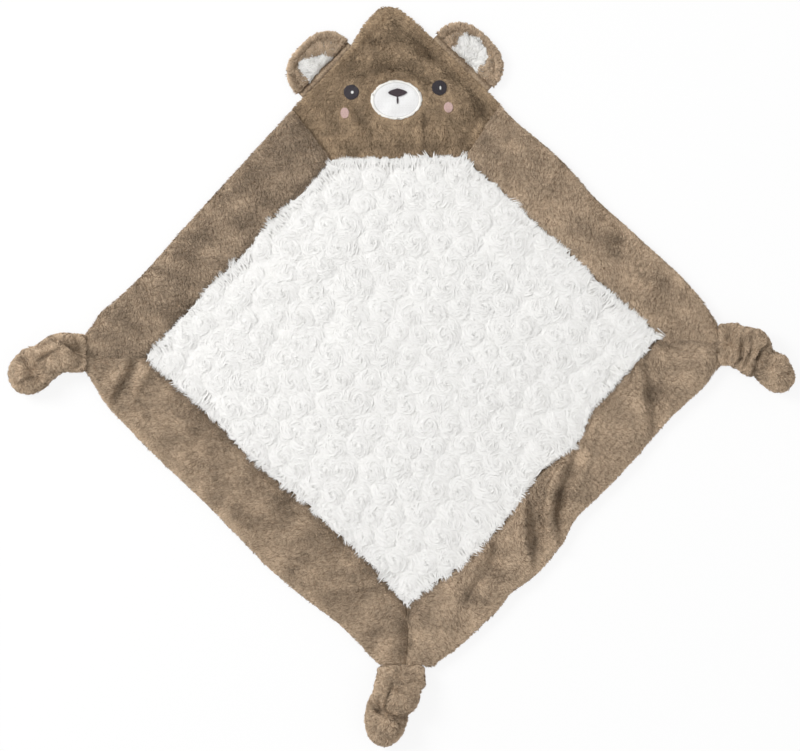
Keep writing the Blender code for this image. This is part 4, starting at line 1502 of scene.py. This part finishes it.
@dataclass
class Face:
    """The bear's face: its cloth over the wadding, its pile and its embroidery."""

    relief: Relief
    step: float = 1.2 * MM
    flat: tuple[float, float] = (131.4 * MM, 95.7 * MM)
    crease_shade: float = 75.0
    pile: Pile = Pile(length=2.6 * MM, spread=17.0)
    patches: tuple[Patch, ...] = (
        Patch("muzzle_patch", MUZZLE_MIDDLE, MUZZLE_HALF, 1.0, MUZZLE_THREAD, rim=0.5),
        Patch("nose", (0.7, 163.2), (6.0, 2.7), 0.7, NOSE_THREAD, pointed=0.30, under=1.1),
        Patch("mouth_stitch", (0.6, 158.3), (0.6, 2.4), 0.5, NOSE_THREAD, sides=24, under=1.1),
        Patch("left_eye", (-28.6, 164.4), (4.9, 4.9), 1.1, EYE_THREAD),
        Patch("right_eye", (27.4, 165.8), (4.8, 4.8), 1.1, EYE_THREAD),
        Patch("left_eye_highlight", (-28.0, 164.2), (0.9, 1.0), 0.4, HIGHLIGHT_THREAD, sides=20, under=1.1),
        Patch("right_eye_highlight", (28.0, 165.6), (0.6, 1.25), 0.4, HIGHLIGHT_THREAD, sides=20, under=1.1),
        Patch("left_cheek", (-33.1, 151.2), (2.7, 3.4), 0.6, CHEEK_THREAD, sides=40),
        Patch("right_cheek", (32.8, 153.2), (2.9, 3.4), 0.6, CHEEK_THREAD, sides=40),
    )

    def pressed(self, p: Array) -> Array:
        """How far the stitches press the pile down round a shape, from 0 to 1."""
        on_cloth = [patch for patch in self.patches if patch.under == 0.0]
        away = [(patch.off(p) - 1) * min(patch.half) * MM for patch in on_cloth]
        return np.max([bell(off / (2.0 * MM)) for off in away], axis=0)

    def bare(self, p: Array) -> Array:
        """Where no pile grows, because embroidery covers the cloth."""
        return np.any([patch.off(p, spare=0.1 * MM) < 1 for patch in self.patches], axis=0)

    def build(self) -> list[Piece]:
        """Lays the face, stitches its features and grows its pile.

        Returns:
            The pieces.
        """
        plan, relief = self.relief.plan, self.relief
        bm = square_net((2 * plan.half_side,) * 2, self.step, 45)
        trim(bm, (0.0, plan.seam_height + 0.15 * MM), (0.0, 1.0))
        for hand in (-1.0, 1.0):
            seam = (hand * (plan.seam_half_width - 0.2 * MM), plan.seam_height)
            trim(bm, seam, (-hand * plan.side_run[1], plan.side_run[0]))
        plan.round_tip(bm, (56, 67.5, 79, 90, 101, 112.5, 124))
        area = sum(face.calc_area() for face in bm.faces)
        cloth = layer("face_cloth", bm, relief.face_low, relief.face_high, NAP_SHADED_FACE_VELOUR.cloth(), plan)
        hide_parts("face_panel")
        roots = Surface.of(cloth).top().scatter(np.random.default_rng(31), self.pile.per_mm2)
        roots = roots.where(~self.bare(roots.plan))
        p = roots.plan
        nap = swirled((0.0, -1.0), np.radians(38 * Ripple(22 * MM, 32).at(p)))
        nap[:, :2] += 0.5 * unit(p - np.array((0.0, 0.162)))
        outer = 1 - smooth(plan.edge_depth(p) / (5 * MM))
        nap[:, 0] += np.sign(p[:, 0]) * outer
        nap[:, 1] += outer
        pressed = self.pressed(p)
        nap[:, :2] += 1.5 * pressed[:, None] * unit(p - np.array(MUZZLE_MIDDLE) * MM)
        # Painted light and shade in the tone: a painted sheen along the outline and on the pile pressed flat round
        # the stitches, painted shade in the partings and in the creases, with painted light on the creases' ridges.
        # Besides that, random patches, and lighter below the muzzle than above it.
        tone = 0.46 + 0.18 * Ripple(17 * MM, 33).at(p) + 0.10 * Ripple(6 * MM, 34).at(p) + 0.22 * outer
        tone += 0.26 * pressed - 0.26 * partings(p, 5.6 * MM, 36) * (1 - pressed)
        tone -= self.crease_shade * sunk(FACE_CREASES, p)
        tone += 0.12 * smooth((158 * MM - p[:, 1]) / (20 * MM)) - 0.06
        short = 1 - 0.45 * pressed - 0.25 * outer
        fur = self.pile.grow("face_pile", roots, nap, tone, NAP_SHADED_FACE_VELOUR.pile(), 35, short)
        return [cloth, fur, *(patch.build(relief.face_high) for patch in self.patches)]


# ---------------------------------------------------------------- ears


@dataclass
class Ear:
    """One ear, in its own frame: X along its fold, Y outwards, Z up out of the front.

    Its outline is a half circle drawn a little square. The brown rim is gathered round the white
    inside, whose patch the photo shows differently on each ear.
    """

    hand: int
    plan: Plan
    patch: tuple[tuple[float, float], ...]
    half_width: float
    height: float
    slide: float
    from_corner: float = 0.0585
    base_radius: float = 0.00255
    rim_share: float = 0.76
    squareness: float = 2.5
    rings: int = 12
    sectors: int = 44

    @property
    def name(self) -> str:
        """The ear's own side."""
        return "left" if self.hand < 0 else "right"

    @property
    def body(self) -> str:
        """The CAD body that the ear rides on."""
        return f"{self.name}_ear"

    @property
    def start(self) -> float:
        """How far out the front pieces begin."""
        return self.base_radius + 0.6 * MM

    def matrix(self) -> Matrix:
        """From the ear's frame to the blanket's."""
        turn = math.radians(135 if self.hand < 0 else 45)
        out = Vector((math.cos(turn), math.sin(turn), 0.0))
        along = Vector((-out.y, out.x, 0.0)) * self.hand
        reach = self.plan.half_side + 0.3 * MM + self.base_radius
        place = out * reach + along * (self.plan.half_side - self.from_corner)
        place.z = self.base_radius + 0.3 * MM
        moved = Matrix.Translation((self.slide, 0.0, 0.0))
        return Matrix.Translation(place) @ Matrix.Rotation(turn - math.pi / 2, 4, "Z") @ moved

    def fan(self, inner: float, outer: float, start: float) -> Net:
        """Half a ring from one share of the ear's reach to another.

        Args:
            inner: the inner share, or 0 for half a disc.
            outer: the outer share.
            start: how far out its straight side lies.

        Returns:
            The flat net.
        """
        bm = bmesh.new()
        bmesh.ops.create_grid(bm, x_segments=self.sectors, y_segments=self.rings, size=1.0, calc_uvs=False)
        n = self.squareness
        for v in bm.verts:
            turn = math.pi * (1 - v.co.x) / 2
            square = (abs(math.cos(turn)) ** n + abs(math.sin(turn)) ** n) ** (-1 / n)
            share = (inner + (outer - inner) * (v.co.y + 1) / 2) * square
            v.co.x = math.cos(turn) * share * self.half_width
            v.co.y = start + math.sin(turn) * share * (self.height - start)
        bmesh.ops.remove_doubles(bm, verts=bm.verts, dist=JOIN)
        return bm

    def off(self, p: Array, start: float) -> Array:
        """How far out each place lies, from 0 on the fold's middle to 1 on the ear's outline.

        Args:
            p: places in the ear's frame.
            start: how far out the outline's straight side lies.

        Returns:
            The shares.
        """
        n = self.squareness
        x, y = np.abs(p[:, 0]) / self.half_width, np.abs(p[:, 1] - start) / (self.height - start)
        return (x**n + y**n) ** (1 / n)

    def patch_depth(self, p: Array) -> Array:
        """How far inside the white patch, whose edge wavers, each place lies.

        Args:
            p: places in the ear's frame.

        Returns:
            Metres, below zero outside.
        """
        depth = np.full(len(p), 1.0)
        for a, b in zip(self.patch, self.patch[1:] + self.patch[:1]):
            a, b = np.array(a) * MM, np.array(b) * MM
            along = unit(b - a)
            depth = np.minimum(depth, (p - a) @ np.array((-along[1], along[0])))
        return depth + 0.7 * MM * Ripple(5 * MM, 70 + self.hand).at(p)

    def puckers(self, p: Array) -> Array:
        """The rim's gathers, from about -1 to 1: uneven waves that run outwards."""
        turn = np.arctan2(p[:, 1] - self.start, p[:, 0])
        wave = np.cos(17 * turn + 2.4 * np.sin(3 * turn + self.hand)) + 0.5 * np.cos(31 * turn + self.hand)
        return wave / 1.5 * smooth((self.off(p, self.start) - 0.4) / 0.4)

    def backing(self) -> Net:
        """The back's flat net, with the strip that rolls round the fold line."""
        bm, rows = self.fan(0.0, 1.0, 0.0), bmesh.new()
        bmesh.ops.create_grid(rows, x_segments=2 * self.rings, y_segments=4, size=1.0, calc_uvs=False)
        for v in rows.verts:
            v.co.x *= self.half_width
            v.co.y = (v.co.y - 1) / 2 * self.base_radius * 0.95
        strip = finished(rows, "strip")
        bm.from_mesh(strip)
        bpy.data.meshes.remove(strip)
        bmesh.ops.remove_doubles(bm, verts=bm.verts, dist=JOIN)
        return bm

    def build(self) -> list[Piece]:
        """Makes the ear's back, rim and white inside, and their pile.

        Returns:
            The pieces.
        """
        base, start = self.base_radius, self.start

        def rolled(p: Array) -> Array:
            """The round base about the fold line."""
            return np.sqrt(np.clip(base**2 - np.minimum(p[:, 1], 0) ** 2, (0.3 * MM) ** 2, None))

        def back_low(p: Array) -> Array:
            """The underside of the ear's back."""
            rim = rise((1.02 - self.off(p, 0.0)) / 0.20)
            return -np.where(p[:, 1] < 0, rolled(p), base * (0.35 + 0.65 * rim))

        def back_high(p: Array) -> Array:
            """The top of the ear's back."""
            return np.where(p[:, 1] < start, rolled(p) * (1 - smooth(p[:, 1] / start)), 0.0) - 0.2 * MM

        def rim_high(p: Array) -> Array:
            """The top of the gathered rim."""
            share = (self.off(p, start) - (1 + self.rim_share) / 2) / ((1 - self.rim_share) / 2)
            bulge = np.where(share > 0, rise(1 - np.clip(share, 0, 1)), 1 - 0.45 * np.clip(share, -1, 0) ** 2)
            return 0.4 * MM + 2.7 * MM * bulge + 0.25 * MM * self.puckers(p)

        def inner_high(p: Array) -> Array:
            """The top of the inside, higher where it is brown."""
            swell = 1.0 * MM * rise((self.rim_share + 0.02 - self.off(p, start)) / 0.3)
            return 0.6 * MM + swell + 1.5 * MM * smooth(-self.patch_depth(p) / (2.4 * MM))

        def flat(p: Array) -> Array:
            """The ground of the ear's front."""
            return np.zeros(len(p))

        nets = {
            "back": (self.backing(), back_low, back_high, BACK_VELOUR, 1.0),
            "rim": (self.fan(self.rim_share, 1.0, start), flat, rim_high, BROWN_VELOUR, 1 - self.rim_share**2),
            "inner": (self.fan(0.0, self.rim_share - 0.015, start), flat, inner_high, EAR_PLUSH, self.rim_share**2),
        }
        cloths = [
            layer(f"{self.body}_{part}_cloth", bm, low, high, finish.cloth())
            for part, (bm, low, high, finish, _) in nets.items()
        ]
        piles = [self.back_pile(cloths[0]), *self.front_piles(*cloths[1:])]
        for part, cloth, fur in zip(nets, cloths, piles):
            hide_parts(f"{self.body}_{part}")
        made = [*cloths, *piles]
        for piece in made:
            piece.data.transform(self.matrix())
        return made

    def back_pile(self, cloth: Piece) -> Piece:
        """The velour of the ear's back, lying outwards.

        Args:
            cloth: the ear's back.

        Returns:
            The pile.
        """
        roots = Surface.of(cloth).scatter(np.random.default_rng(60 + self.hand), 1.2)
        roots = roots.where((roots.places[:, 1] > self.start) & (roots.normals[:, 2] < 0.6))
        nap = unit(roots.places - np.array((0.0, 0.2 * self.height, 0.0)))
        tone = 0.5 + 0.25 * Ripple(9 * MM, 61).at(roots.plan)
        pile = Pile(length=2.6 * MM, width=0.8 * MM)
        return pile.grow(f"{self.body}_back_pile", roots, nap, tone, BACK_VELOUR.pile(), 62)

    def front_piles(self, rim: Piece, inner: Piece) -> list[Piece]:
        """The brown velour round the white patch, and the patch's long tufts.

        Args:
            rim: the rim's cloth.
            inner: the inside's cloth.

        Returns:
            The brown pile and the white pile.
        """
        rng = np.random.default_rng(64 + self.hand)
        skins = [Surface.of(cloth).scatter(rng, density) for cloth, density in ((rim, 6.4), (inner, 10.0))]
        roots = Roots(np.vstack([skin.places for skin in skins]), np.vstack([skin.normals for skin in skins]))
        y, z = roots.places[:, 1], roots.places[:, 2]
        roots = roots.where((roots.normals[:, 2] > -0.6) & (y > self.start * 0.7) & (z > 0.3 * MM))
        p = roots.plan
        white = self.patch_depth(p) > 0
        grain = fanned(p, np.array((0.0, self.start - 6 * MM)), 16 * MM)
        nap = unit(roots.places - np.array((0.0, self.start - 2 * MM, 0.0)))
        # Painted light and shade on the rim's pile: darker in the gathers' hollows and lighter on their ridges, and a
        # painted sheen along the outline, besides random patches.
        rim_tone = 0.62 + 0.10 * self.puckers(p) + 0.16 * Ripple(8 * MM, 65).at(p)
        rim_tone += 0.22 * smooth((self.off(p, self.start) - 0.85) / 0.2)
        tone = 0.6 + 0.25 * Ripple(6 * MM, 66).at(p)
        short = Pile(length=2.8 * MM, spread=14.0)
        long = Pile(4.2 * MM, 0.55 * MM, lean=(46.0, 88.0), spread=22.0, rows=4, locks=Locks(1.9 * MM, 0.4))
        return [
            pile.grow(
                f"{self.body}_{part}_pile", roots.where(on), nap[on], shade[on], finish.pile(), seed, grain=grain[on]
            )
            for part, pile, on, shade, finish, seed in (
                ("rim", short, ~white, rim_tone, BROWN_VELOUR, 68),
                ("inner", long, white, tone, EAR_PLUSH, 69),
            )
        ]


LEFT_EAR_PATCH = ((-11.5, 0.0), (9.4, 0.0), (5.6, 6.8), (-8.6, 15.6), (-10.4, 9.0))
RIGHT_EAR_PATCH = ((-8.6, 0.0), (8.6, 0.0), (9.6, 8.5), (8.2, 13.5), (-1.2, 18.6), (-11.6, 14.5), (-10.5, 8.0))


# ---------------------------------------------------------------- knots


@dataclass(frozen=True)
class Lobe:
    """A fat turn of a knot as the photo shows it, in the knot's frame and in mm."""

    place: tuple[float, float]
    half: tuple[float, float, float]
    lift: float
    turn: float = 0.0
    squareness: float = 2.2

    def add_to(self, bm: Net) -> None:
        """Adds the lobe, a ball drawn a little square.

        Args:
            bm: the knot's net.
        """
        turned = Matrix.Rotation(math.radians(self.turn), 3, "Z")
        n = self.squareness
        for v in bmesh.ops.create_icosphere(bm, subdivisions=4, radius=1.0)["verts"]:
            v.co /= sum(abs(part) ** n for part in v.co) ** (1 / n)
            v.co = (turned @ (v.co * Vector(self.half)) + Vector((*self.place, self.lift))) * MM

    def off(self, p: Array) -> Array:
        """How far out of the lobe each place lies in plan, as a share of its mean half width."""
        return np.linalg.norm(p - np.array(self.place) * MM, axis=1) / (0.5 * (self.half[0] + self.half[1]) * MM)


@dataclass(frozen=True)
class KnotForm:
    """What the photo shows of one knot: its lobes, and the creases between and on them."""

    lobes: tuple[Lobe, ...]
    creases: tuple[Crease, ...]

    def holds(self, place: Array) -> bool:
        """Whether a place lies well inside the knot in plan, so that the strand may show there."""
        return min(lobe.off(place[None, :2])[0] for lobe in self.lobes) < 0.55


KNOT_FORMS = {
    Corner.LEFT: KnotForm(
        (
            Lobe((2.8, -3.1), (7.4, 11.6, 6.2), 2.6, 0, 6),
            Lobe((11, -3.3), (12.3, 12, 9.4), 5.4, 15.6, 2.6),
            Lobe((19.5, 1), (12.9, 11.5, 8.8), 5, 36, 2.6),
            Lobe((29.8, 7.3), (15.9, 13.3, 8.2), 4.3, 44.4, 2.1),
        ),
        (
            Crease((13, -11), (4, -5.6), 2.2, 1.5, 0.2),
            Crease((4, -5.6), (-1.1, -2.9), 1.6, 1.3, 0.2),
            Crease((13.1, -5.2), (22.3, -0.2), 1.8, 1.2, 0.2),
            Crease((18.2, -9.8), (24.1, -7.4), 1.4, 1.3, 0.2),
            Crease((27.2, 11.3), (36.3, 14.3), 1.5, 1.6, 0.2),
        ),
    ),
    Corner.RIGHT: KnotForm(
        (
            Lobe((2.4, -1.7), (7.8, 12.8, 6.2), 2.6, 0, 6),
            Lobe((10.4, -4.2), (10.1, 13.2, 8.8), 5, -2.7, 2.7),
            Lobe((16, -6.9), (12.4, 14.9, 9.8), 5.4, -3.1, 2),
            Lobe((28.7, -19.2), (15, 10.4, 8.4), 4.3, -45.7, 2.4),
        ),
        (
            Crease((0.8, 8), (-0.8, -10.5), 1, 1.2, 0.2),
            Crease((8.4, -0.3), (7.3, -11), 1.8, 1.3, 0.3),
            Crease((7.3, -11), (4.2, -15.2), 1.6, 1.2, 0.3),
            Crease((14.5, 0.6), (12.7, -6.2), 1.5, 1.2, 0.3),
            Crease((12.7, -6.2), (11, -13.2), 1.8, 1.4, 0.3),
            Crease((23.2, -3.7), (18.2, -9.3), 2.2, 1.5, 0.3),
            Crease((18.2, -9.3), (15.2, -19.4), 2.8, 1.7, 0.3),
        ),
    ),
    Corner.BOTTOM: KnotForm(
        (
            Lobe((2.5, -6.1), (7.9, 14.7, 6.2), 2.6, 0, 6),
            Lobe((11.2, -9.1), (14.9, 14.6, 10.2), 5.4, -15.4, 2.4),
            Lobe((26.4, -16.2), (18.9, 13, 7.8), 3.6, -8.4, 2.2),
        ),
        (
            Crease((17, -25.5), (23.1, -21.4), 1.3, 1.5, 0.4),
            Crease((23.1, -21.4), (28.7, -10.8), 2.2, 1.7, 0.5),
            Crease((28.7, -10.8), (27.1, -3.5), 2, 1.5, 0.5),
            Crease((5.5, -12.1), (10.8, -14), 1.7, 1.2, 0.2),
            Crease((10.8, -14), (19.6, -16.9), 1.6, 1.2, 0.2),
            Crease((9.6, -10.4), (12.9, -2.4), 1.6, 1.1, 0.2),
            Crease((6.1, -9.5), (4.1, 4.1), 1.4, 1.1, 0.2),
        ),
    ),
}


@dataclass
class Knot:
    """One tied corner, in its own frame: X out from its neck's fold line, Z up.

    The gathered cloth is tied as an overhand knot round itself. Its strand is rolled along its
    route and fused with the fat lobes that the photo shows, from the flat neck to the tail's round
    end, and its creases are sunk between them.
    """

    corner: Corner
    plan: Plan
    neck_radius: float = 0.0040
    neck_height: float = 0.0042
    strand_radius: float = 0.0037
    fullness: float = 0.0012
    pitch: float = 0.0080
    flatness: float = 0.90
    reach: float = 0.0240
    turn_run: float = 0.0080
    route_steps: int = 6
    voxel: float = 0.85 * MM
    eased: int = 5
    crease_shade: float = 170.0
    pile: Pile = Pile(2.3 * MM, per_mm2=3.6, lean=(38.0, 82.0), spread=14.0, locks=Locks(1.25 * MM, 0.46, 0.15))
    route: tuple[tuple[float, float, float], ...] = (
        (0.00, 1.12, 0.00),
        (-0.60, 1.02, -0.44),
        (-1.10, 0.68, -0.76),
        (-1.52, 0.12, -0.88),
        (-1.62, -0.46, -0.64),
        (-1.40, -0.92, -0.20),
        (-0.97, -1.08, 0.24),
        (-0.45, -0.95, 0.54),
        (0.05, -0.62, 0.62),
        (0.47, -0.28, 0.35),
        (0.84, -0.04, 0.00),
        (1.30, 0.06, -0.36),
        (1.85, 0.10, -0.52),
    )

    @property
    def name(self) -> str:
        """The knot's own side."""
        return self.corner.name.lower()

    @property
    def floor(self) -> float:
        """The table in the knot's frame, and a little above."""
        return -self.neck_height + 0.2 * MM

    def matrix(self) -> Matrix:
        """From the knot's frame to the blanket's."""
        reach = self.plan.neck_distance + 0.3 * MM + self.neck_radius
        place = Vector((*(self.corner.out * reach), self.neck_height))
        return Matrix.Translation(place) @ Matrix.Rotation(math.radians(self.corner.value[0]), 4, "Z")

    def swung(self, points: Array) -> Array:
        """Swings the strand aside near its neck.

        Args:
            points: places on the straight strand.

        Returns:
            The places where they lie.
        """
        turn = math.radians(self.corner.value[1])
        share = np.clip(points[:, 0] / self.turn_run, 0.0, 1.0)
        angle = turn * share
        run = self.turn_run * share * np.sinc(angle / 2 / math.pi)
        off = points[:, 0] - self.turn_run * share
        moved = points.copy()
        moved[:, 0] = run * np.cos(angle / 2) + off * np.cos(angle) - points[:, 1] * np.sin(angle)
        moved[:, 1] = run * np.sin(angle / 2) + off * np.sin(angle) + points[:, 1] * np.cos(angle)
        return moved

    def path(self) -> Array:
        """The strand's middle line before it swings aside."""
        low = max(-up for _, _, up in self.route) * self.pitch * self.flatness
        middle = np.array((self.reach, 0.0, 0.3 * MM + self.strand_radius + low - self.neck_height))
        first = [(-x, y, -z) for x, y, z in reversed(self.route[1:])]
        points = np.array([*first, *self.route]) * (1, 1, self.flatness) * self.pitch + middle
        padded = np.vstack((2 * points[0] - points[1], points, 2 * points[-1] - points[-2]))
        route = []
        for a, b, c, d in zip(padded, padded[1:], padded[2:], padded[3:]):
            for t in (k / self.route_steps for k in range(self.route_steps)):
                bend = (2 * a - 5 * b + 4 * c - d) * t**2 + (3 * b - a - 3 * c + d) * t**3
                route.append(b + ((c - a) * t + bend) / 2)
        return np.array([*route, points[-1]])

    def body(self) -> Piece:
        """Rolls the strand, fuses it with the lobes and sinks the creases.

        Returns:
            The knot's cloth.
        """
        form = KNOT_FORMS[self.corner]
        bm = bmesh.new()
        for place in filter(form.holds, self.swung(self.path())):
            spot = Matrix.Translation(place)
            bmesh.ops.create_icosphere(bm, subdivisions=2, radius=self.strand_radius + self.fullness, matrix=spot)
        for lobe in form.lobes:
            lobe.add_to(bm)
        piece = new_object(f"{self.name}_knot_cloth", finished(bm, "knot"), BROWN_VELOUR.cloth())
        fuse = piece.modifiers.new("fuse", "REMESH")
        fuse.mode, fuse.voxel_size = "VOXEL", self.voxel
        ease = piece.modifiers.new("ease", "SMOOTH")
        ease.factor, ease.iterations = 0.5, self.eased
        baked(piece)
        points = mesh_points(piece.data)
        normals = np.empty(points.size)
        piece.data.vertex_normals.foreach_get("vector", normals)
        normals = normals.reshape(-1, 3)
        points -= normals * (sunk(form.creases, points[:, :2]) * smooth(normals[:, 2] / 0.4))[:, None]
        z = points[:, 2]
        points[:, 2] = np.where(z < self.floor, self.floor + (z - self.floor) * 0.1, z)
        put_points(piece.data, points)
        piece.data.shade_smooth()
        return piece

    def build(self) -> list[Piece]:
        """Makes the knot and grows its pile, which lies outwards on each lobe.

        Returns:
            The knot's cloth and its pile.
        """
        form, piece = KNOT_FORMS[self.corner], self.body()
        seed = 80 + self.corner.value[0]
        roots = Surface.of(piece).scatter(np.random.default_rng(seed), self.pile.per_mm2)
        roots = roots.where(roots.places[:, 2] > self.floor + 0.3 * MM)
        p = roots.plan
        off = np.array([lobe.off(p) for lobe in form.lobes])
        owner = np.argmin(off, axis=0)
        middles = np.array([lobe.place for lobe in form.lobes])[owner] * MM
        turn = 0.7 * Ripple(9 * MM, seed).at(p)
        out = unit(p - middles + np.array((1.2 * MM, 0.0)))
        nap = np.stack((out[:, 0] - turn * out[:, 1], out[:, 1] + turn * out[:, 0], 0 * turn), axis=1)
        side = np.max(1 - off, axis=0)
        # Painted light and shade in the tone: a painted sheen towards the edges of each lobe, and painted shade in
        # the partings and on the upper side of the creases, besides random patches.
        tone = 0.67 + 0.14 * Ripple(11 * MM, seed + 1).at(p) + 0.12 * (1 - smooth(side / 0.35))
        tone -= 0.34 * partings(p, 4.4 * MM, seed + 3)
        tone -= self.crease_shade * sunk(form.creases, p) * (roots.normals[:, 2] > 0)
        grain = fanned(p, middles, 9 * MM) + owner[:, None] * 100 * MM
        fur = self.pile.grow(f"{self.name}_knot_pile", roots, nap, tone, BROWN_VELOUR.pile(), seed + 2, grain=grain)
        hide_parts(f"{self.name}_knot")
        for made in (piece, fur):
            made.data.transform(self.matrix())
        return [piece, fur]


# ---------------------------------------------------------------- the studio


def white_to_camera(tree: Tree) -> Socket:
    """One for rays from the camera, from shine and through clear pieces, and zero for light.

    Args:
        tree: the tree that gets the nodes.

    Returns:
        The value's socket.
    """
    rays = add_node(tree, "ShaderNodeLightPath").outputs
    seen = rays["Is Camera Ray"]
    for other in ("Is Glossy Ray", "Is Transmission Ray"):
        seen = add_node(tree, "ShaderNodeMath", {0: seen, 1: rays[other]}, operation="MAXIMUM").outputs[0]
    return seen


@dataclass(frozen=True)
class Studio:
    """A plain white floor, soft light and the photo's camera, straight above the blanket."""

    middle: tuple[float, float] = (-2.1 * MM, -16.3 * MM)
    turn: float = math.radians(-1.4)
    width: float = 0.5095
    lens: float = 170.0
    sensor: float = 36.0
    ground: float = -0.15 * MM
    floor_glow: float = 0.86
    world_light: float = 0.62
    def camera(self) -> None:
        """Looks straight down at the blanket, turned as the photo is."""
        data = bpy.data.cameras.new("camera")
        data.lens, data.sensor_width, data.clip_end = self.lens, self.sensor, 20.0
        made = bpy.data.objects.new("camera", data)
        bpy.context.scene.collection.objects.link(made)
        height = self.lens * self.width / self.sensor + 6 * MM
        made.location = (*self.middle, height)
        made.rotation_euler = (0.0, 0.0, self.turn)
        bpy.context.scene.camera = made

    def lamp(self, name: str, place: tuple[float, float, float], size: float, power: float) -> None:
        """A large soft lamp that faces the blanket.

        Args:
            name: the lamp's name.
            place: where it hangs.
            size: how wide it is.
            power: its strength in watts.
        """
        data = bpy.data.lights.new(name, "AREA")
        data.shape, data.size, data.energy = "DISK", size, power
        made = bpy.data.objects.new(name, data)
        bpy.context.scene.collection.objects.link(made)
        made.location = place
        made.rotation_euler = (-Vector(place)).to_track_quat("-Z", "Y").to_euler()

    def floor(self) -> None:
        """A floor whose own colour makes the background white, and which keeps a soft shadow."""
        bm = bmesh.new()
        bmesh.ops.create_grid(bm, x_segments=1, y_segments=1, size=6.0)
        matte = {"Roughness": 1.0, "Specular IOR Level": 0.0, "Base Color": linear("#F2F2F2")}
        made, shader = new_material("white_studio_floor", matte)
        tree = made.node_tree
        glow = add_node(tree, "ShaderNodeEmission", {0: (1.0, 1.0, 1.0, 1.0), 1: 1.0})
        seen = white_to_camera(tree)
        share = add_node(tree, "ShaderNodeMath", {0: seen, 1: self.floor_glow}, operation="MULTIPLY")
        mixed = add_node(tree, "ShaderNodeMixShader", {0: share.outputs[0], 1: shader.outputs[0], 2: glow.outputs[0]})
        tree.links.new(mixed.outputs[0], tree.nodes["Material Output"].inputs["Surface"])
        floor = new_object("floor", finished(bm, "floor"), made)
        floor.location.z = self.ground

    def world(self) -> None:
        """White to the camera, and an even soft light on the blanket."""
        world = bpy.data.worlds.new("studio")
        bpy.context.scene.world = world
        world.use_nodes = True
        tree = world.node_tree
        strength = add_node(tree, "ShaderNodeMapRange", {0: white_to_camera(tree), 3: self.world_light, 4: 1.0})
        back = tree.nodes["Background"]
        back.inputs[0].default_value = (1.0, 1.0, 1.0, 1.0)
        tree.links.new(strength.outputs[0], back.inputs[1])

    def build(self) -> None:
        """Sets up the camera, the lamps, the floor and the world."""
        self.camera()
        self.lamp("key", (-1.15, 0.60, 1.15), 0.8, 20.0)
        self.lamp("fill", (1.1, -0.5, 1.5), 1.2, 4.0)
        self.floor()
        self.world()
        bpy.context.scene.view_settings.view_transform = "Standard"


def dress_inner_nodes() -> None:
    """Gives the wadding and the embroidery's backing, which stay inside the head, their finish."""
    for name in ("head_padding", "embroidery_backing"):
        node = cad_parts[name]
        node.data.materials.clear()
        node.data.materials.append(WADDING.cloth())


def main() -> None:
    """Builds the blanket piece by piece and hands each to its body."""
    logging.basicConfig(level=logging.INFO, format="%(name)s: %(message)s")
    relief = Relief()
    plan = relief.plan
    Studio().build()
    dress_inner_nodes()
    groups: list[tuple[str, str | None, list[Piece]]] = []
    groups.append(("blanket", "back_plush", BackPanel(relief).build()))
    # Each strip's nap, and its painted light or shade as that nap faces towards or away from the lamp.
    strips = {
        Side.UPPER_LEFT: ((0.25, -1.0), 0.31),
        Side.UPPER_RIGHT: ((-0.2, -1.0), 0.67),
        Side.LOWER_LEFT: ((-1.0, -0.15), 0.56),
        Side.LOWER_RIGHT: ((0.8, -0.6), 0.61),
    }
    for side, (nap, shade) in strips.items():
        groups.append(("blanket", "brown_plush", BorderStrip(side, relief, nap, shade).build()))
    groups.append(("blanket", "rosette_plush", CenterPanel(relief).build()))
    groups.append(("blanket", None, Face(relief).build()))
    ears = (
        Ear(-1, plan, LEFT_EAR_PATCH, 22.6 * MM, 21.6 * MM, -1.8 * MM),
        Ear(1, plan, RIGHT_EAR_PATCH, 24.0 * MM, 22.2 * MM, -1.5 * MM),
    )
    for ear in ears:
        groups.append((ear.body, None, ear.build()))
    for corner in Corner:
        knot = Knot(corner, plan)
        groups.append((f"{knot.name}_knot", "brown_plush", knot.build()))
    for body, slot, pieces in groups:
        for piece in pieces:
            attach(piece, body)
            words = piece.name.split("_")
            log.info("%s on %s: %d faces", piece.name, body, len(piece.data.polygons))


if __name__ == "__main__":
    main()
